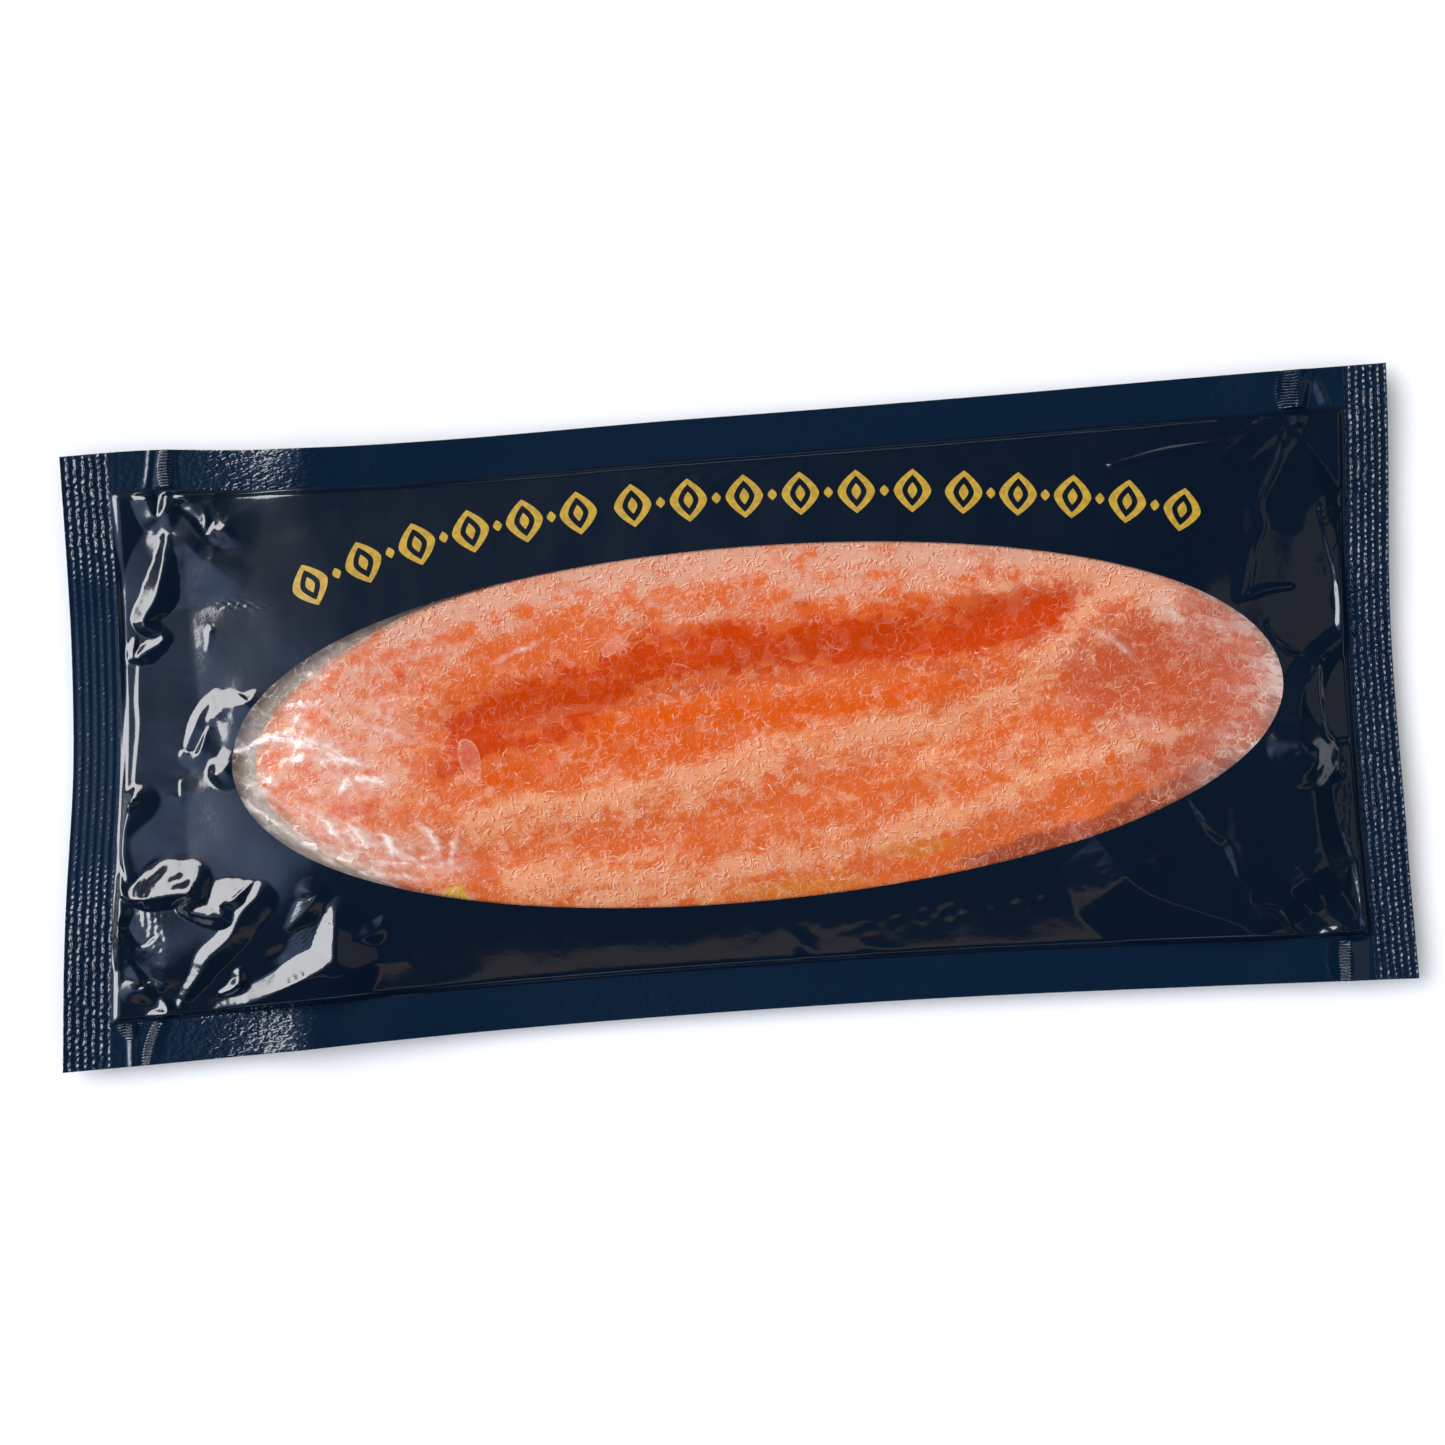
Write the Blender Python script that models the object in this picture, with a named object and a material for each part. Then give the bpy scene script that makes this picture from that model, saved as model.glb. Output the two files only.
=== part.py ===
"""Sealed pack of smoked trout: a four-sided film pouch with an oval clear window, and the fillet in it.

The pack lies on its back with the window up. +X runs along its length, +Y across it and +Z up.
The origin is under the middle of the pack, on the surface that it lies on. The sizes below are
in millimetres, and make_object turns them into metres.
"""

import math

import bmesh
import bpy
import numpy as np

MM = 0.001

# The film's outline. Its corners reach these half sizes, and each edge is a smooth curve through points:
# the film was cut by hand, the end on the left leans and the long edges are drawn in between the corners.
HALF_LENGTH = 143.2
HALF_WIDTH = 64.5
LEFT_EDGE_X_BY_Y = ((-64.5, -143.2), (-31.0, -140.4), (0.0, -136.7), (25.0, -135.3), (64.5, -135.0))
RIGHT_EDGE_X_BY_Y = ((-64.5, 141.2), (-33.0, 140.7), (22.0, 140.9), (43.0, 142.3), (64.5, 143.2))
BOTTOM_EDGE_Y_BY_X = (
    (-143.2, -64.4), (-115.0, -63.8), (-70.0, -62.3), (0.0, -61.4),
    (45.0, -61.7), (95.0, -63.0), (143.2, -64.5),
)
TOP_EDGE_Y_BY_X = (
    (-143.2, 64.1), (-113.0, 64.2), (-100.0, 63.2), (0.0, 63.0),
    (60.0, 63.5), (110.0, 64.3), (143.2, 64.5),
)

# The heat seals, flat bands all round the pouch. The two end seals are crimped.
LEFT_SEAL = 10.0
RIGHT_SEAL = 9.0
BOTTOM_SEAL = 9.0
TOP_SEAL = 8.3
SEAL_THICKNESS = 0.6
SEAL_LEVEL = 4.6
CORNER_LIFT = 1.1
CRIMP_RIBS = 6
CRIMP_DEPTH = 0.20

# Waves in the long seals: place along X, height, spread, and which side (1 the upper, -1 the lower).
SEAL_WAVES = (
    (-85.0, 2.2, 8.0, 1), (-70.0, 2.2, 18.0, 1), (20.0, -0.4, 40.0, 1), (118.0, 0.5, 8.0, 1),
    (-93.0, 2.4, 8.0, -1), (-78.0, 2.2, 16.0, -1), (-36.0, -0.5, 22.0, -1), (60.0, 0.4, 34.0, -1),
    (117.0, 0.6, 9.0, -1),
)
# Waves in the end seals: place along Y, height, spread, and which end (1 the right, -1 the left).
END_WAVES = (
    (38.0, 0.7, 10.0, -1), (-4.0, -0.5, 22.0, -1), (-45.0, 0.8, 13.0, -1),
    (54.0, 0.6, 8.0, 1), (24.0, 0.9, 9.0, 1), (-26.0, 0.9, 13.0, 1),
)
# The share of the pack's half size at which a wave of a long seal or of an end seal starts.
LONG_SEAL_WAVES_FROM = 0.70
END_SEAL_WAVES_FROM = 0.86

# The pillow: a small step just inside the seals, then a rise that flattens over the fillet.
STEP_RISE = 0.8
STEP_LENGTH = 1.0
STEP_PLACE = 0.9
SLOPE_RISE = 9.4
END_REACH = 66.0
SIDE_REACH = 47.0
CORNER_POWER = 4.5
SLOPE_POWER = 2.1
BACK_DROP = 6.6
BACK_POWER = 4.0
BACK_SHOULDER = 0.8

# The window, an ellipse a little fuller at its left shoulder.
WINDOW_CENTRE = (6.0, -1.6)
WINDOW_HALF_LENGTH = 110.7
WINDOW_HALF_WIDTH = 37.2
WINDOW_TILT = math.radians(1.0)
WINDOW_EGG = 0.008
WELL_FLOOR = 3.0
WINDOW_FILM = 0.3
CLEARANCE = 0.3
FILM_GAP = 0.6

# The fillet ends short of the window's left tip, and the pale inner face of the pouch shows there.
FILLET_SHORTFALL = 4.6
FILLET_SHORTFALL_ANGLE = math.radians(176.0)
FILLET_SHORTFALL_SPREAD = math.radians(46.0)
FILLET_EDGE_DROP = 2.4
FILLET_EDGE_DROP_SHARE = 0.25
FILLET_SECOND_RING_DROP = 0.35

# How far in from the seals the folds reach their full height, how much a fold's crest is rounded, how wide
# its foot fades out, and into how many straight pieces its crest line is cut.
FOLD_FADE = 1.4
FOLD_CREST = 0.22
FOLD_FOOT = 0.12
FOLD_SAMPLES = 22
# Parts of a crest line that are nearly as near as the nearest one share in the height: within this distance,
# and this much more for each millimetre away.
FOLD_SHARING = 0.05
FOLD_SHARING_AWAY = 0.12
SMALL_DISTANCE = 1e-6

# Folds in the front film: crest line, the heights along it (a valley's are negative), and the slopes of the
# faces on the line's left and right.
FOLDS = {
    "end_ridge": (
        ((-114.4, 45.6), (-113.8, 45.3), (-116.4, 34.2), (-119.9, 28.3), (-115.7, 24.7),
         (-122.1, 21.4), (-121.9, 24.8)),
        (0.36, 1.04, 1.86, 1.54, 0.69, 1.1, 0.3), 0.42, 0.54,
    ),
    "end_ridge_tail": (
        ((-124.4, -8.1), (-127.5, -17.1), (-126.9, -24.9)),
        (1.3, 0.3, 0.4), 0.19, 0.73,
    ),
    "end_valley": (
        ((-109.8, 43.4), (-110.1, 32.5), (-109.8, 20.6), (-109.7, 7.9), (-113.0, -6.7),
         (-114.0, -20.3)),
        (-1.73, -3.01, -2.7, -2.21, -1.44, -1.99), 0.09, 0.11,
    ),
    "crescent_top": (
        ((-114.1, 56.4), (-110.4, 55.5), (-109.3, 53.7), (-107.0, 50.3), (-106.1, 49.5),
         (-103.0, 49.3)),
        (0.12, 0.77, 1.26, 1.48, 1.52, 0.53), 0.16, 0.15,
    ),
    "crescent_foot": (
        ((-110.3, 52.4), (-110.4, 52.0), (-107.2, 49.3), (-105.6, 46.3), (-103.7, 48.8)),
        (-0.49, -0.63, -0.74, -0.3, -0.19), 0.30, 0.50,
    ),
    "pocket_rim": (
        ((-103.3, 52.1), (-101.6, 48.3), (-101.2, 47.4), (-103.7, 42.7), (-104.7, 40.2),
         (-107.4, 41.5), (-109.6, 44.2)),
        (0.45, 0.46, 0.94, 0.21, 1.04, 0.52, 0.49), 0.08, 0.22,
    ),
    "small_core": (
        ((-113.1, 49.9), (-112.7, 46.7), (-112.5, 40.8), (-114.7, 37.7)),
        (0.71, 1.02, 0.87, 0.29), 0.11, 0.16,
    ),
    "pleat_mouth": (
        ((-117.3, 53.8), (-115.9, 50.2), (-114.1, 51.1), (-113.2, 54.7)),
        (1.2, 1.25, 1.5, 0.43), 0.59, 0.37,
    ),
    "leaf_upper": (
        ((-97.2, 12.1), (-98.9, 10.0), (-103.7, 9.4), (-104.5, 8.9), (-106.8, 7.5)),
        (0.18, 1.31, 1.43, 1.23, 0.36), 0.11, 0.44,
    ),
    "leaf_stem": (
        ((-105.4, 12.0), (-108.8, 8.9), (-110.4, 5.6), (-112.1, 2.2)),
        (0.43, 0.51, 0.7, 0.34), 0.14, 0.42,
    ),
    "leaf_low": (
        ((-113.3, 0.8), (-110.0, 0.2), (-107.7, 5.1)),
        (0.28, 0.85, 0.25), 0.95, 0.16,
    ),
    "point": (
        ((-103.7, -1.5), (-104.6, -3.4), (-106.9, -4.4), (-108.5, -4.9)),
        (0.44, 1.42, 1.18, 0.02), 0.25, 0.27,
    ),
    "wave": (
        ((-129.2, -25.2), (-127.4, -28.4), (-123.9, -29.2), (-118.4, -28.7), (-113.5, -28.8),
         (-114.4, -32.2), (-107.5, -34.0), (-107.2, -31.3), (-104.7, -30.6), (-100.3, -27.1)),
        (0.63, 1.1, 2.55, 2.87, 3.2, 1.5, 2.11, 2.02, 1.78, 0.12), 0.36, 0.94,
    ),
    "crease": (
        ((-99.7, -30.4), (-103.1, -33.5), (-105.9, -38.4), (-111.0, -42.7), (-112.9, -45.7),
         (-117.2, -51.0), (-118.9, -56.4)),
        (1.64, 1.83, 1.27, 1.37, 0.9, 0.52, 0.24), 0.38, 0.53,
    ),
    "leaf": (
        ((-109.0, -53.1), (-103.7, -52.6), (-97.7, -50.6), (-90.9, -47.9), (-85.3, -45.4),
         (-84.2, -42.3), (-83.5, -34.9)),
        (0.69, 1.86, 2.11, 2.52, 2.9, 2.5, 1.3), 0.56, 0.26,
    ),
    "patch": (
        ((-88.5, -30.0), (-87.3, -31.6), (-93.4, -37.3)),
        (0.88, 1.15, 0.26), 0.34, 0.38,
    ),
    "streak": (
        ((-80.0, -40.8), (-75.6, -39.2), (-73.6, -37.0)),
        (0.05, 0.9, 0.3), 0.30, 0.30,
    ),
    "web": (
        ((-128.4, -31.9), (-130.3, -35.8), (-125.0, -39.6), (-121.8, -37.7)),
        (1.4, 2.2, 0.5, 0.2), 0.76, 0.10,
    ),
    "web_low": (
        ((-122.2, -32.9), (-119.4, -36.9), (-120.0, -42.0), (-121.7, -49.5)),
        (0.57, 0.81, 0.76, 0.04), 0.07, 0.21,
    ),
    "corner_pocket": (
        ((-127.8, -42.2), (-125.6, -46.5), (-126.8, -48.1), (-120.3, -47.7)),
        (0.4, 0.87, 1.39, 0.04), 0.59, 0.30,
    ),
    "corner_fan": (
        ((-121.4, -50.4), (-120.3, -53.4), (-123.6, -55.3)),
        (0.23, 1.7, 1.0), 0.79, 0.49,
    ),
    "left_bulge": (
        ((-96.4, -50.2), (-88.2, -47.9), (-84.5, -48.2), (-77.3, -46.2), (-70.0, -45.8)),
        (0.31, 2.2, 2.6, 0.9, 0.2), 0.21, 0.09,
    ),
    "top_right_side": (
        ((124.2, 51.1), (127.0, 43.6), (128.4, 34.6), (130.1, 28.6), (127.4, 24.1)),
        (0.14, 0.4, 1.81, 0.13, 0.02), 0.40, 0.07,
    ),
    "right_glint": (
        ((127.0, 34.9), (127.4, 31.8), (128.7, 24.8), (129.4, 22.6), (130.1, 15.2), (129.9, 11.2)),
        (0.41, 0.19, 0.31, 0.49, 0.82, 1.07), 0.13, 0.95,
    ),
    "right_triangle": (
        ((114.3, 11.3), (118.0, 7.0), (124.8, 3.9)),
        (0.28, 0.95, 0.52), 0.18, 0.76,
    ),
    "right_brow": (
        ((119.8, 19.3), (122.5, 20.2), (131.8, 21.6), (132.3, 17.5)),
        (0.02, 0.12, 0.42, 0.7), 0.07, 0.14,
    ),
    "right_middle": (
        ((131.3, 8.5), (125.1, 3.8), (120.1, -4.3), (119.9, -10.1), (119.6, -15.3), (128.7, -21.1)),
        (1.02, 1.22, 1.56, 1.94, 2.74, 0.2), 0.36, 0.33,
    ),
    "right_middle_crease": (
        ((124.2, 1.8), (124.1, -4.5), (125.4, -12.8), (129.4, -13.6)),
        (0.49, 1.05, 0.37, 0.4), 0.87, 0.37,
    ),
    "right_lower": (
        ((114.4, -12.7), (122.2, -14.8), (121.5, -22.1), (122.1, -34.4), (125.1, -42.8),
         (127.2, -47.7), (131.1, -53.4)),
        (1.71, 2.05, 1.48, 1.95, 1.96, 1.08, 0.11), 0.41, 0.10,
    ),
    "right_lower_side": (
        ((127.2, -21.8), (126.2, -28.5), (129.3, -38.6), (130.2, -47.8), (131.0, -53.8)),
        (0.02, 0.08, 0.88, 0.45, 1.09), 0.07, 0.95,
    ),
    "soft_ridge": (
        ((95.6, -24.2), (100.1, -30.4), (102.8, -32.6), (104.1, -36.3), (104.7, -40.5)),
        (0.29, 0.88, 1.14, 0.86, 0.35), 0.07, 0.58,
    ),
    "right_leaf": (
        ((108.5, -38.3), (111.0, -36.9), (112.4, -37.1), (115.2, -38.4), (118.6, -41.3),
         (122.5, -48.1), (125.0, -51.0), (129.0, -54.7)),
        (0.15, 0.35, 0.92, 1.91, 1.22, 0.77, 0.8, 0.1), 0.13, 0.39,
    ),
    "long_soft_fold": (
        ((75.0, -30.0), (83.6, -41.1), (95.6, -46.9), (104.6, -50.7), (108.2, -54.9),
         (114.3, -60.0)),
        (1.76, 3.11, 2.38, 3.18, 3.16, 1.13), 0.19, 0.23,
    ),
}

# The flesh under the film: its bands run along the fillet as shallow grooves and swells.
FLESH_BANDS = (
    ("lateral_groove", ((-60.0, 2.0), (-5.0, 6.5), (38.0, 13.8), (78.0, 20.5)), -0.9, 4.0),
    ("upper_swell", ((-60.0, 24.0), (0.0, 26.0), (40.0, 26.5), (96.0, 18.0)), 0.4, 5.0),
    ("middle_swell", ((-70.0, -18.8), (-23.0, -13.4), (69.0, 9.6), (97.0, 18.0)), 0.5, 4.5),
    ("lower_groove", ((-60.0, -26.0), (0.0, -20.0), (60.0, -4.0), (100.0, 4.0)), -0.4, 4.0),
    ("lower_swell", ((-40.0, -32.0), (20.0, -27.0), (70.0, -18.0), (102.0, -8.0)), 0.4, 4.5),
)
BAND_END_FADE = 2.5
# Where the flesh bands start to fade and have gone, as shares of the way out from the window's middle.
BANDS_FADE = (0.9, 1.15)

# Where the rings of the pillow's front aim at: the middles of the seals' inner lines.
SEAL_CENTRE_X = 132.0
SEAL_CENTRE_Y = 56.0

# How finely the curved skins are divided, and how much closer together the stations are towards the corners.
BODY_STEPS_LONG = 50
BODY_STEPS_SHORT = 24
STATION_PULL = 0.55
RING_POWER = 0.62
LONG_SEAL_STEPS = 2
PILLOW_RINGS = 11
WELL_FLOOR_RINGS = 2
WINDOW_SEGMENTS = 72
WINDOW_RINGS = 5
FILLET_RINGS = 8

# Colour (linear), roughness and metallic value of each sub-part.
NAVY_FILM = ((0.007, 0.022, 0.058), 0.16, 0.0)
CLEAR_FILM = ((0.86, 0.74, 0.68), 0.12, 0.0)
TROUT_FLESH = ((0.72, 0.17, 0.05), 0.42, 0.0)


def smooth_curve(points, at):
    """A cubic through the points: Hermite pieces whose end slopes are the mean of the slopes on each side."""
    x, y = np.array(points, float).T
    slope = np.gradient(y, x)
    left = np.clip(np.searchsorted(x, at) - 1, 0, len(x) - 2)
    span = x[left + 1] - x[left]
    t = np.clip((at - x[left]) / span, 0.0, 1.0)
    return (
        (1 + 2 * t) * (1 - t) ** 2 * y[left]
        + t * (1 - t) ** 2 * span * slope[left]
        + t**2 * (3 - 2 * t) * y[left + 1]
        - t**2 * (1 - t) * span * slope[left + 1]
    )


def smooth_step(low, high, value):
    t = np.clip((value - low) / (high - low), 0.0, 1.0)
    return t * t * (3 - 2 * t)


def inside_seals(x, y):
    """Distances in from the seals' inner lines: from the left, right, lower and upper one."""
    return (
        x - smooth_curve(LEFT_EDGE_X_BY_Y, y) - LEFT_SEAL,
        smooth_curve(RIGHT_EDGE_X_BY_Y, y) - RIGHT_SEAL - x,
        y - smooth_curve(BOTTOM_EDGE_Y_BY_X, x) - BOTTOM_SEAL,
        smooth_curve(TOP_EDGE_Y_BY_X, x) - TOP_SEAL - y,
    )


def seal_level(x, y):
    """Height of the middle of the seals: long gentle waves, and corners that turn up a little."""
    level = SEAL_LEVEL + CORNER_LIFT * (x / HALF_LENGTH) ** 6 * (y / HALF_WIDTH) ** 2
    for centre, height, spread, side in SEAL_WAVES:
        share = smooth_step(LONG_SEAL_WAVES_FROM, 1.0, side * y / HALF_WIDTH)
        level = level + height * share * np.exp(-(((x - centre) / spread) ** 2))
    for centre, height, spread, side in END_WAVES:
        share = smooth_step(END_SEAL_WAVES_FROM, 1.0, side * x / HALF_LENGTH)
        level = level + height * share * np.exp(-(((y - centre) / spread) ** 2))
    return level


def rounded_reach(x, y):
    """0 well inside the pillow and 1 at the seals, along a rectangle with rounded corners."""
    left, right, lower, upper = inside_seals(x, y)
    along = np.clip(1 - np.minimum(left, right) / END_REACH, 0.0, 1.5)
    across = np.clip(1 - np.minimum(lower, upper) / SIDE_REACH, 0.0, 1.5)
    return (along**CORNER_POWER + across**CORNER_POWER) ** (1 / CORNER_POWER)


def nearest_seal(x, y):
    """Distance in from the nearest seal line, rounded where two meet: (ends^-4 + sides^-4)^(-1/4)."""
    left, right, lower, upper = inside_seals(x, y)
    ends = np.maximum(np.minimum(left, right), 0.02)
    sides = np.maximum(np.minimum(lower, upper), 0.02)
    return (ends**-4.0 + sides**-4.0) ** -0.25


def pillow_rise(x, y):
    """The front film above the seals: a logistic step inside them, and SLOPE_RISE * (1 - reach^power)."""
    sharpness = 4 / STEP_LENGTH
    at_seal = 1 / (1 + math.exp(STEP_PLACE * sharpness))
    step = 1 / (1 + np.exp((STEP_PLACE - nearest_seal(x, y)) * sharpness)) - at_seal
    slope = np.clip(1 - rounded_reach(x, y) ** SLOPE_POWER, 0.0, 1.0)
    return STEP_RISE * step + SLOPE_RISE * slope


def crimp(x, y):
    """The end seals' ribs, parallel to the cut ends: a cosine across each seal, in both films alike."""
    from_left = x - smooth_curve(LEFT_EDGE_X_BY_Y, y)
    from_right = smooth_curve(RIGHT_EDGE_X_BY_Y, y) - x
    ribs = np.zeros_like(x)
    for distance, width in ((from_left, LEFT_SEAL), (from_right, RIGHT_SEAL)):
        across = np.clip(distance / width, 0.0, 1.0)
        ribs += CRIMP_DEPTH * (np.cos(2 * np.pi * CRIMP_RIBS * across) - 1) / 2
    return ribs


def smooth_path(path):
    """Points spaced along a Catmull-Rom curve through the path's own points."""
    knots = np.array(path, float)
    padded = np.concatenate([2 * knots[:1] - knots[1:2], knots, 2 * knots[-1:] - knots[-2:-1]])
    place = np.linspace(0.0, len(knots) - 1.0, FOLD_SAMPLES)
    i = np.minimum(place.astype(int), len(knots) - 2)
    t = (place - i)[:, None]
    a, b, c, d = padded[i], padded[i + 1], padded[i + 2], padded[i + 3]
    return b + 0.5 * t * (c - a + t * (2 * a - 5 * b + 4 * c - d + t * (3 * (b - c) + d - a)))


def beside_path(x, y, path, heights):
    """Distance to a path, the side that a point lies on (1 its left, -1 its right, and between past its ends),
    and the path's height there. Parts of the path that are about as near as the nearest one share in both."""
    knots = smooth_path(path)
    start = knots[:-1]
    step = np.diff(knots, axis=0)
    length = np.hypot(step[:, 0], step[:, 1])
    before = np.concatenate([[0.0], np.cumsum(length)[:-1]])
    dx = np.ravel(x)[:, None] - start[:, 0]
    dy = np.ravel(y)[:, None] - start[:, 1]
    t = np.clip((dx * step[:, 0] + dy * step[:, 1]) / length**2, 0.0, 1.0)
    away = np.hypot(dx - t * step[:, 0], dy - t * step[:, 1])
    nearest = away.min(axis=1)[:, None]
    weight = np.exp((nearest - away) / (FOLD_SHARING + FOLD_SHARING_AWAY * nearest))
    weight /= weight.sum(axis=1)[:, None]
    lean = (step[:, 0] * dy - step[:, 1] * dx) / (length * np.maximum(away, SMALL_DISTANCE))
    share = (before + t * length) / length.sum()
    height = np.interp(share, np.linspace(0.0, 1.0, len(heights)), heights)
    side = (weight * np.clip(lean, -1.0, 1.0)).sum(axis=1)
    shape = np.shape(x)
    return nearest.reshape(shape), side.reshape(shape), (weight * height).sum(axis=1).reshape(shape)


def fold(x, y, path, heights, left_slope, right_slope):
    """A crease: its crest follows the path at the heights given, and flat faces fall off it on both sides.
    The foot is rounded by (face + foot)^2 / (4 foot), and past it there is nothing."""
    away, side, height = beside_path(x, y, path, heights)
    slope = right_slope + (left_slope - right_slope) * (1 + side) / 2
    face = np.abs(height) - slope * (np.sqrt(away**2 + FOLD_CREST**2) - FOLD_CREST)
    rounded = np.maximum(face + FOLD_FOOT, 0.0) ** 2 / (4 * FOLD_FOOT)
    return math.copysign(1.0, sum(heights)) * np.where(face > FOLD_FOOT, face, rounded)


def band(x, y, points, height, half_width):
    """A swell or groove of the flesh: a Gaussian across a smooth line, faded out past the line's ends."""
    centre = smooth_curve(points, x)
    first, last = points[0][0], points[-1][0]
    beyond = np.maximum(0.0, np.maximum(first - x, x - last)) / BAND_END_FADE
    return height * np.exp(-((y - centre) ** 2 + beyond**2) / half_width**2)


def window_reach(x, y):
    """0 at the window's middle and 1 on its edge."""
    dx = x - WINDOW_CENTRE[0]
    dy = y - WINDOW_CENTRE[1]
    u = (dx * math.cos(WINDOW_TILT) + dy * math.sin(WINDOW_TILT)) / WINDOW_HALF_LENGTH
    v = (-dx * math.sin(WINDOW_TILT) + dy * math.cos(WINDOW_TILT)) / WINDOW_HALF_WIDTH
    return np.hypot(u, v)


def front_height(x, y):
    """The front film: the seals' level, the pillow, its folds, and the flesh bands it is drawn down on."""
    height = seal_level(x, y) + SEAL_THICKNESS / 2 + pillow_rise(x, y)
    fold_fade = smooth_step(0.0, FOLD_FADE, nearest_seal(x, y))
    for path, heights, left_slope, right_slope in FOLDS.values():
        height = height + fold_fade * fold(x, y, path, heights, left_slope, right_slope)
    over_flesh = 1 - smooth_step(*BANDS_FADE, window_reach(x, y))
    for _, points, band_height, half_width in FLESH_BANDS:
        height = height + over_flesh * band(x, y, points, band_height, half_width)
    return height


def back_height(x, y):
    """The back film: it drops from the seals and lies flat on the surface below."""
    drop = BACK_DROP * np.clip(1 - rounded_reach(x, y) ** BACK_POWER, 0.0, 1.0) ** BACK_SHOULDER
    return np.maximum(seal_level(x, y) - SEAL_THICKNESS / 2 - drop, 0.0)


def window_outline(angle, inset):
    """Points of the window's edge, moved inwards by inset: an ellipse with a small egg-shaped change."""
    swell = 1 + WINDOW_EGG * (np.cos(3 * angle) - np.cos(4 * angle))
    u = (WINDOW_HALF_LENGTH * swell - inset) * np.cos(angle)
    v = (WINDOW_HALF_WIDTH * swell - inset) * np.sin(angle)
    x = WINDOW_CENTRE[0] + u * math.cos(WINDOW_TILT) - v * math.sin(WINDOW_TILT)
    y = WINDOW_CENTRE[1] + u * math.sin(WINDOW_TILT) + v * math.cos(WINDOW_TILT)
    return x, y


class Skin:
    """Vertices and faces gathered patch by patch, then joined where patches meet."""

    def __init__(self):
        self.points = []
        self.faces = []
        self.count = 0

    def grid(self, x, y, z, closed_round=False, flip=False):
        """A patch of quads over a grid of points, its second index closed on itself if it runs round."""
        rows, columns = x.shape
        self.points.append(np.stack([x, y, z], axis=-1).reshape(-1, 3))
        index = self.count + np.arange(rows * columns).reshape(rows, columns)
        if closed_round:
            index = np.concatenate([index, index[:, :1]], axis=1)
        quads = np.stack([index[:-1, :-1], index[1:, :-1], index[1:, 1:], index[:-1, 1:]], axis=-1)
        quads = quads.reshape(-1, 4)
        self.faces += (quads[:, ::-1] if flip else quads).tolist()
        self.count += rows * columns
        return index

    def cap(self, ring, point, flip=False):
        """A fan from a ring of point numbers to one point in its middle."""
        self.points.append(np.array([point], float))
        for here, beyond in zip(ring[:-1], ring[1:]):
            face = [int(here), int(beyond), self.count]
            self.faces.append(face[::-1] if flip else face)
        self.count += 1


def make_material(name, finish):
    colour, roughness, metallic = finish
    material = bpy.data.materials.new(name)
    material.use_nodes = True
    shader = material.node_tree.nodes["Principled BSDF"]
    shader.inputs["Base Color"].default_value = (*colour, 1.0)
    shader.inputs["Roughness"].default_value = roughness
    shader.inputs["Metallic"].default_value = metallic
    material.diffuse_color = (*colour, 1.0)
    return material


def make_object(name, skin, material):
    """The gathered patches as one closed mesh in metres."""
    mesh = bpy.data.meshes.new(name)
    mesh.from_pydata((np.concatenate(skin.points) * MM).tolist(), [], skin.faces)
    shape = bmesh.new()
    shape.from_mesh(mesh)
    bmesh.ops.remove_doubles(shape, verts=shape.verts, dist=0.01 * MM)
    bmesh.ops.recalc_face_normals(shape, faces=shape.faces)
    bmesh.ops.triangulate(shape, faces=shape.faces)
    shape.to_mesh(mesh)
    shape.free()
    mesh.shade_smooth()
    mesh.set_sharp_from_angle(angle=math.radians(40.0))
    mesh.materials.append(material)
    made = bpy.data.objects.new(name, mesh)
    bpy.context.scene.collection.objects.link(made)
    return made


def eased(steps, power):
    """Stations from 0 to 1, closer together towards 1."""
    return 1 - (1 - np.linspace(0.0, 1.0, steps + 1)) ** power


def towards_ends(steps):
    """Stations from 0 to 1, closer together towards both ends, where the corner folds are."""
    t = np.linspace(0.0, 1.0, steps + 1)
    return t - STATION_PULL * np.sin(2 * np.pi * t) / (2 * np.pi)


def pouch_plan():
    """The stations of the whole pouch seen from above, as x and y grids, and where its seals end."""
    rib_steps = 2 * CRIMP_RIBS
    left = np.linspace(0.0, 1.0, rib_steps + 1)
    body = towards_ends(BODY_STEPS_LONG)
    lowest = -HALF_WIDTH + BOTTOM_SEAL
    highest = HALF_WIDTH - TOP_SEAL
    rows = np.concatenate([
        np.linspace(-HALF_WIDTH, lowest, LONG_SEAL_STEPS + 1),
        (lowest + (highest - lowest) * towards_ends(BODY_STEPS_SHORT))[1:],
        np.linspace(highest, HALF_WIDTH, LONG_SEAL_STEPS + 1)[1:],
    ])[:, None]
    outer_left = smooth_curve(LEFT_EDGE_X_BY_Y, rows)
    outer_right = smooth_curve(RIGHT_EDGE_X_BY_Y, rows)
    inner_left = outer_left + LEFT_SEAL
    inner_right = outer_right - RIGHT_SEAL
    x = np.concatenate([
        outer_left + LEFT_SEAL * left,
        (inner_left + (inner_right - inner_left) * body)[:, 1:],
        (inner_right + RIGHT_SEAL * left)[:, 1:],
    ], axis=1)
    bottom = smooth_curve(BOTTOM_EDGE_Y_BY_X, x)
    top = smooth_curve(TOP_EDGE_Y_BY_X, x)
    inner_bottom = bottom + BOTTOM_SEAL
    inner_top = top - TOP_SEAL
    share = (rows - lowest) / (highest - lowest)
    y = np.where(share < 0, bottom + (rows + HALF_WIDTH), inner_bottom + (inner_top - inner_bottom) * share)
    y = np.where(share > 1, top - (HALF_WIDTH - rows), y)
    return x, y, rib_steps, LONG_SEAL_STEPS


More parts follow.
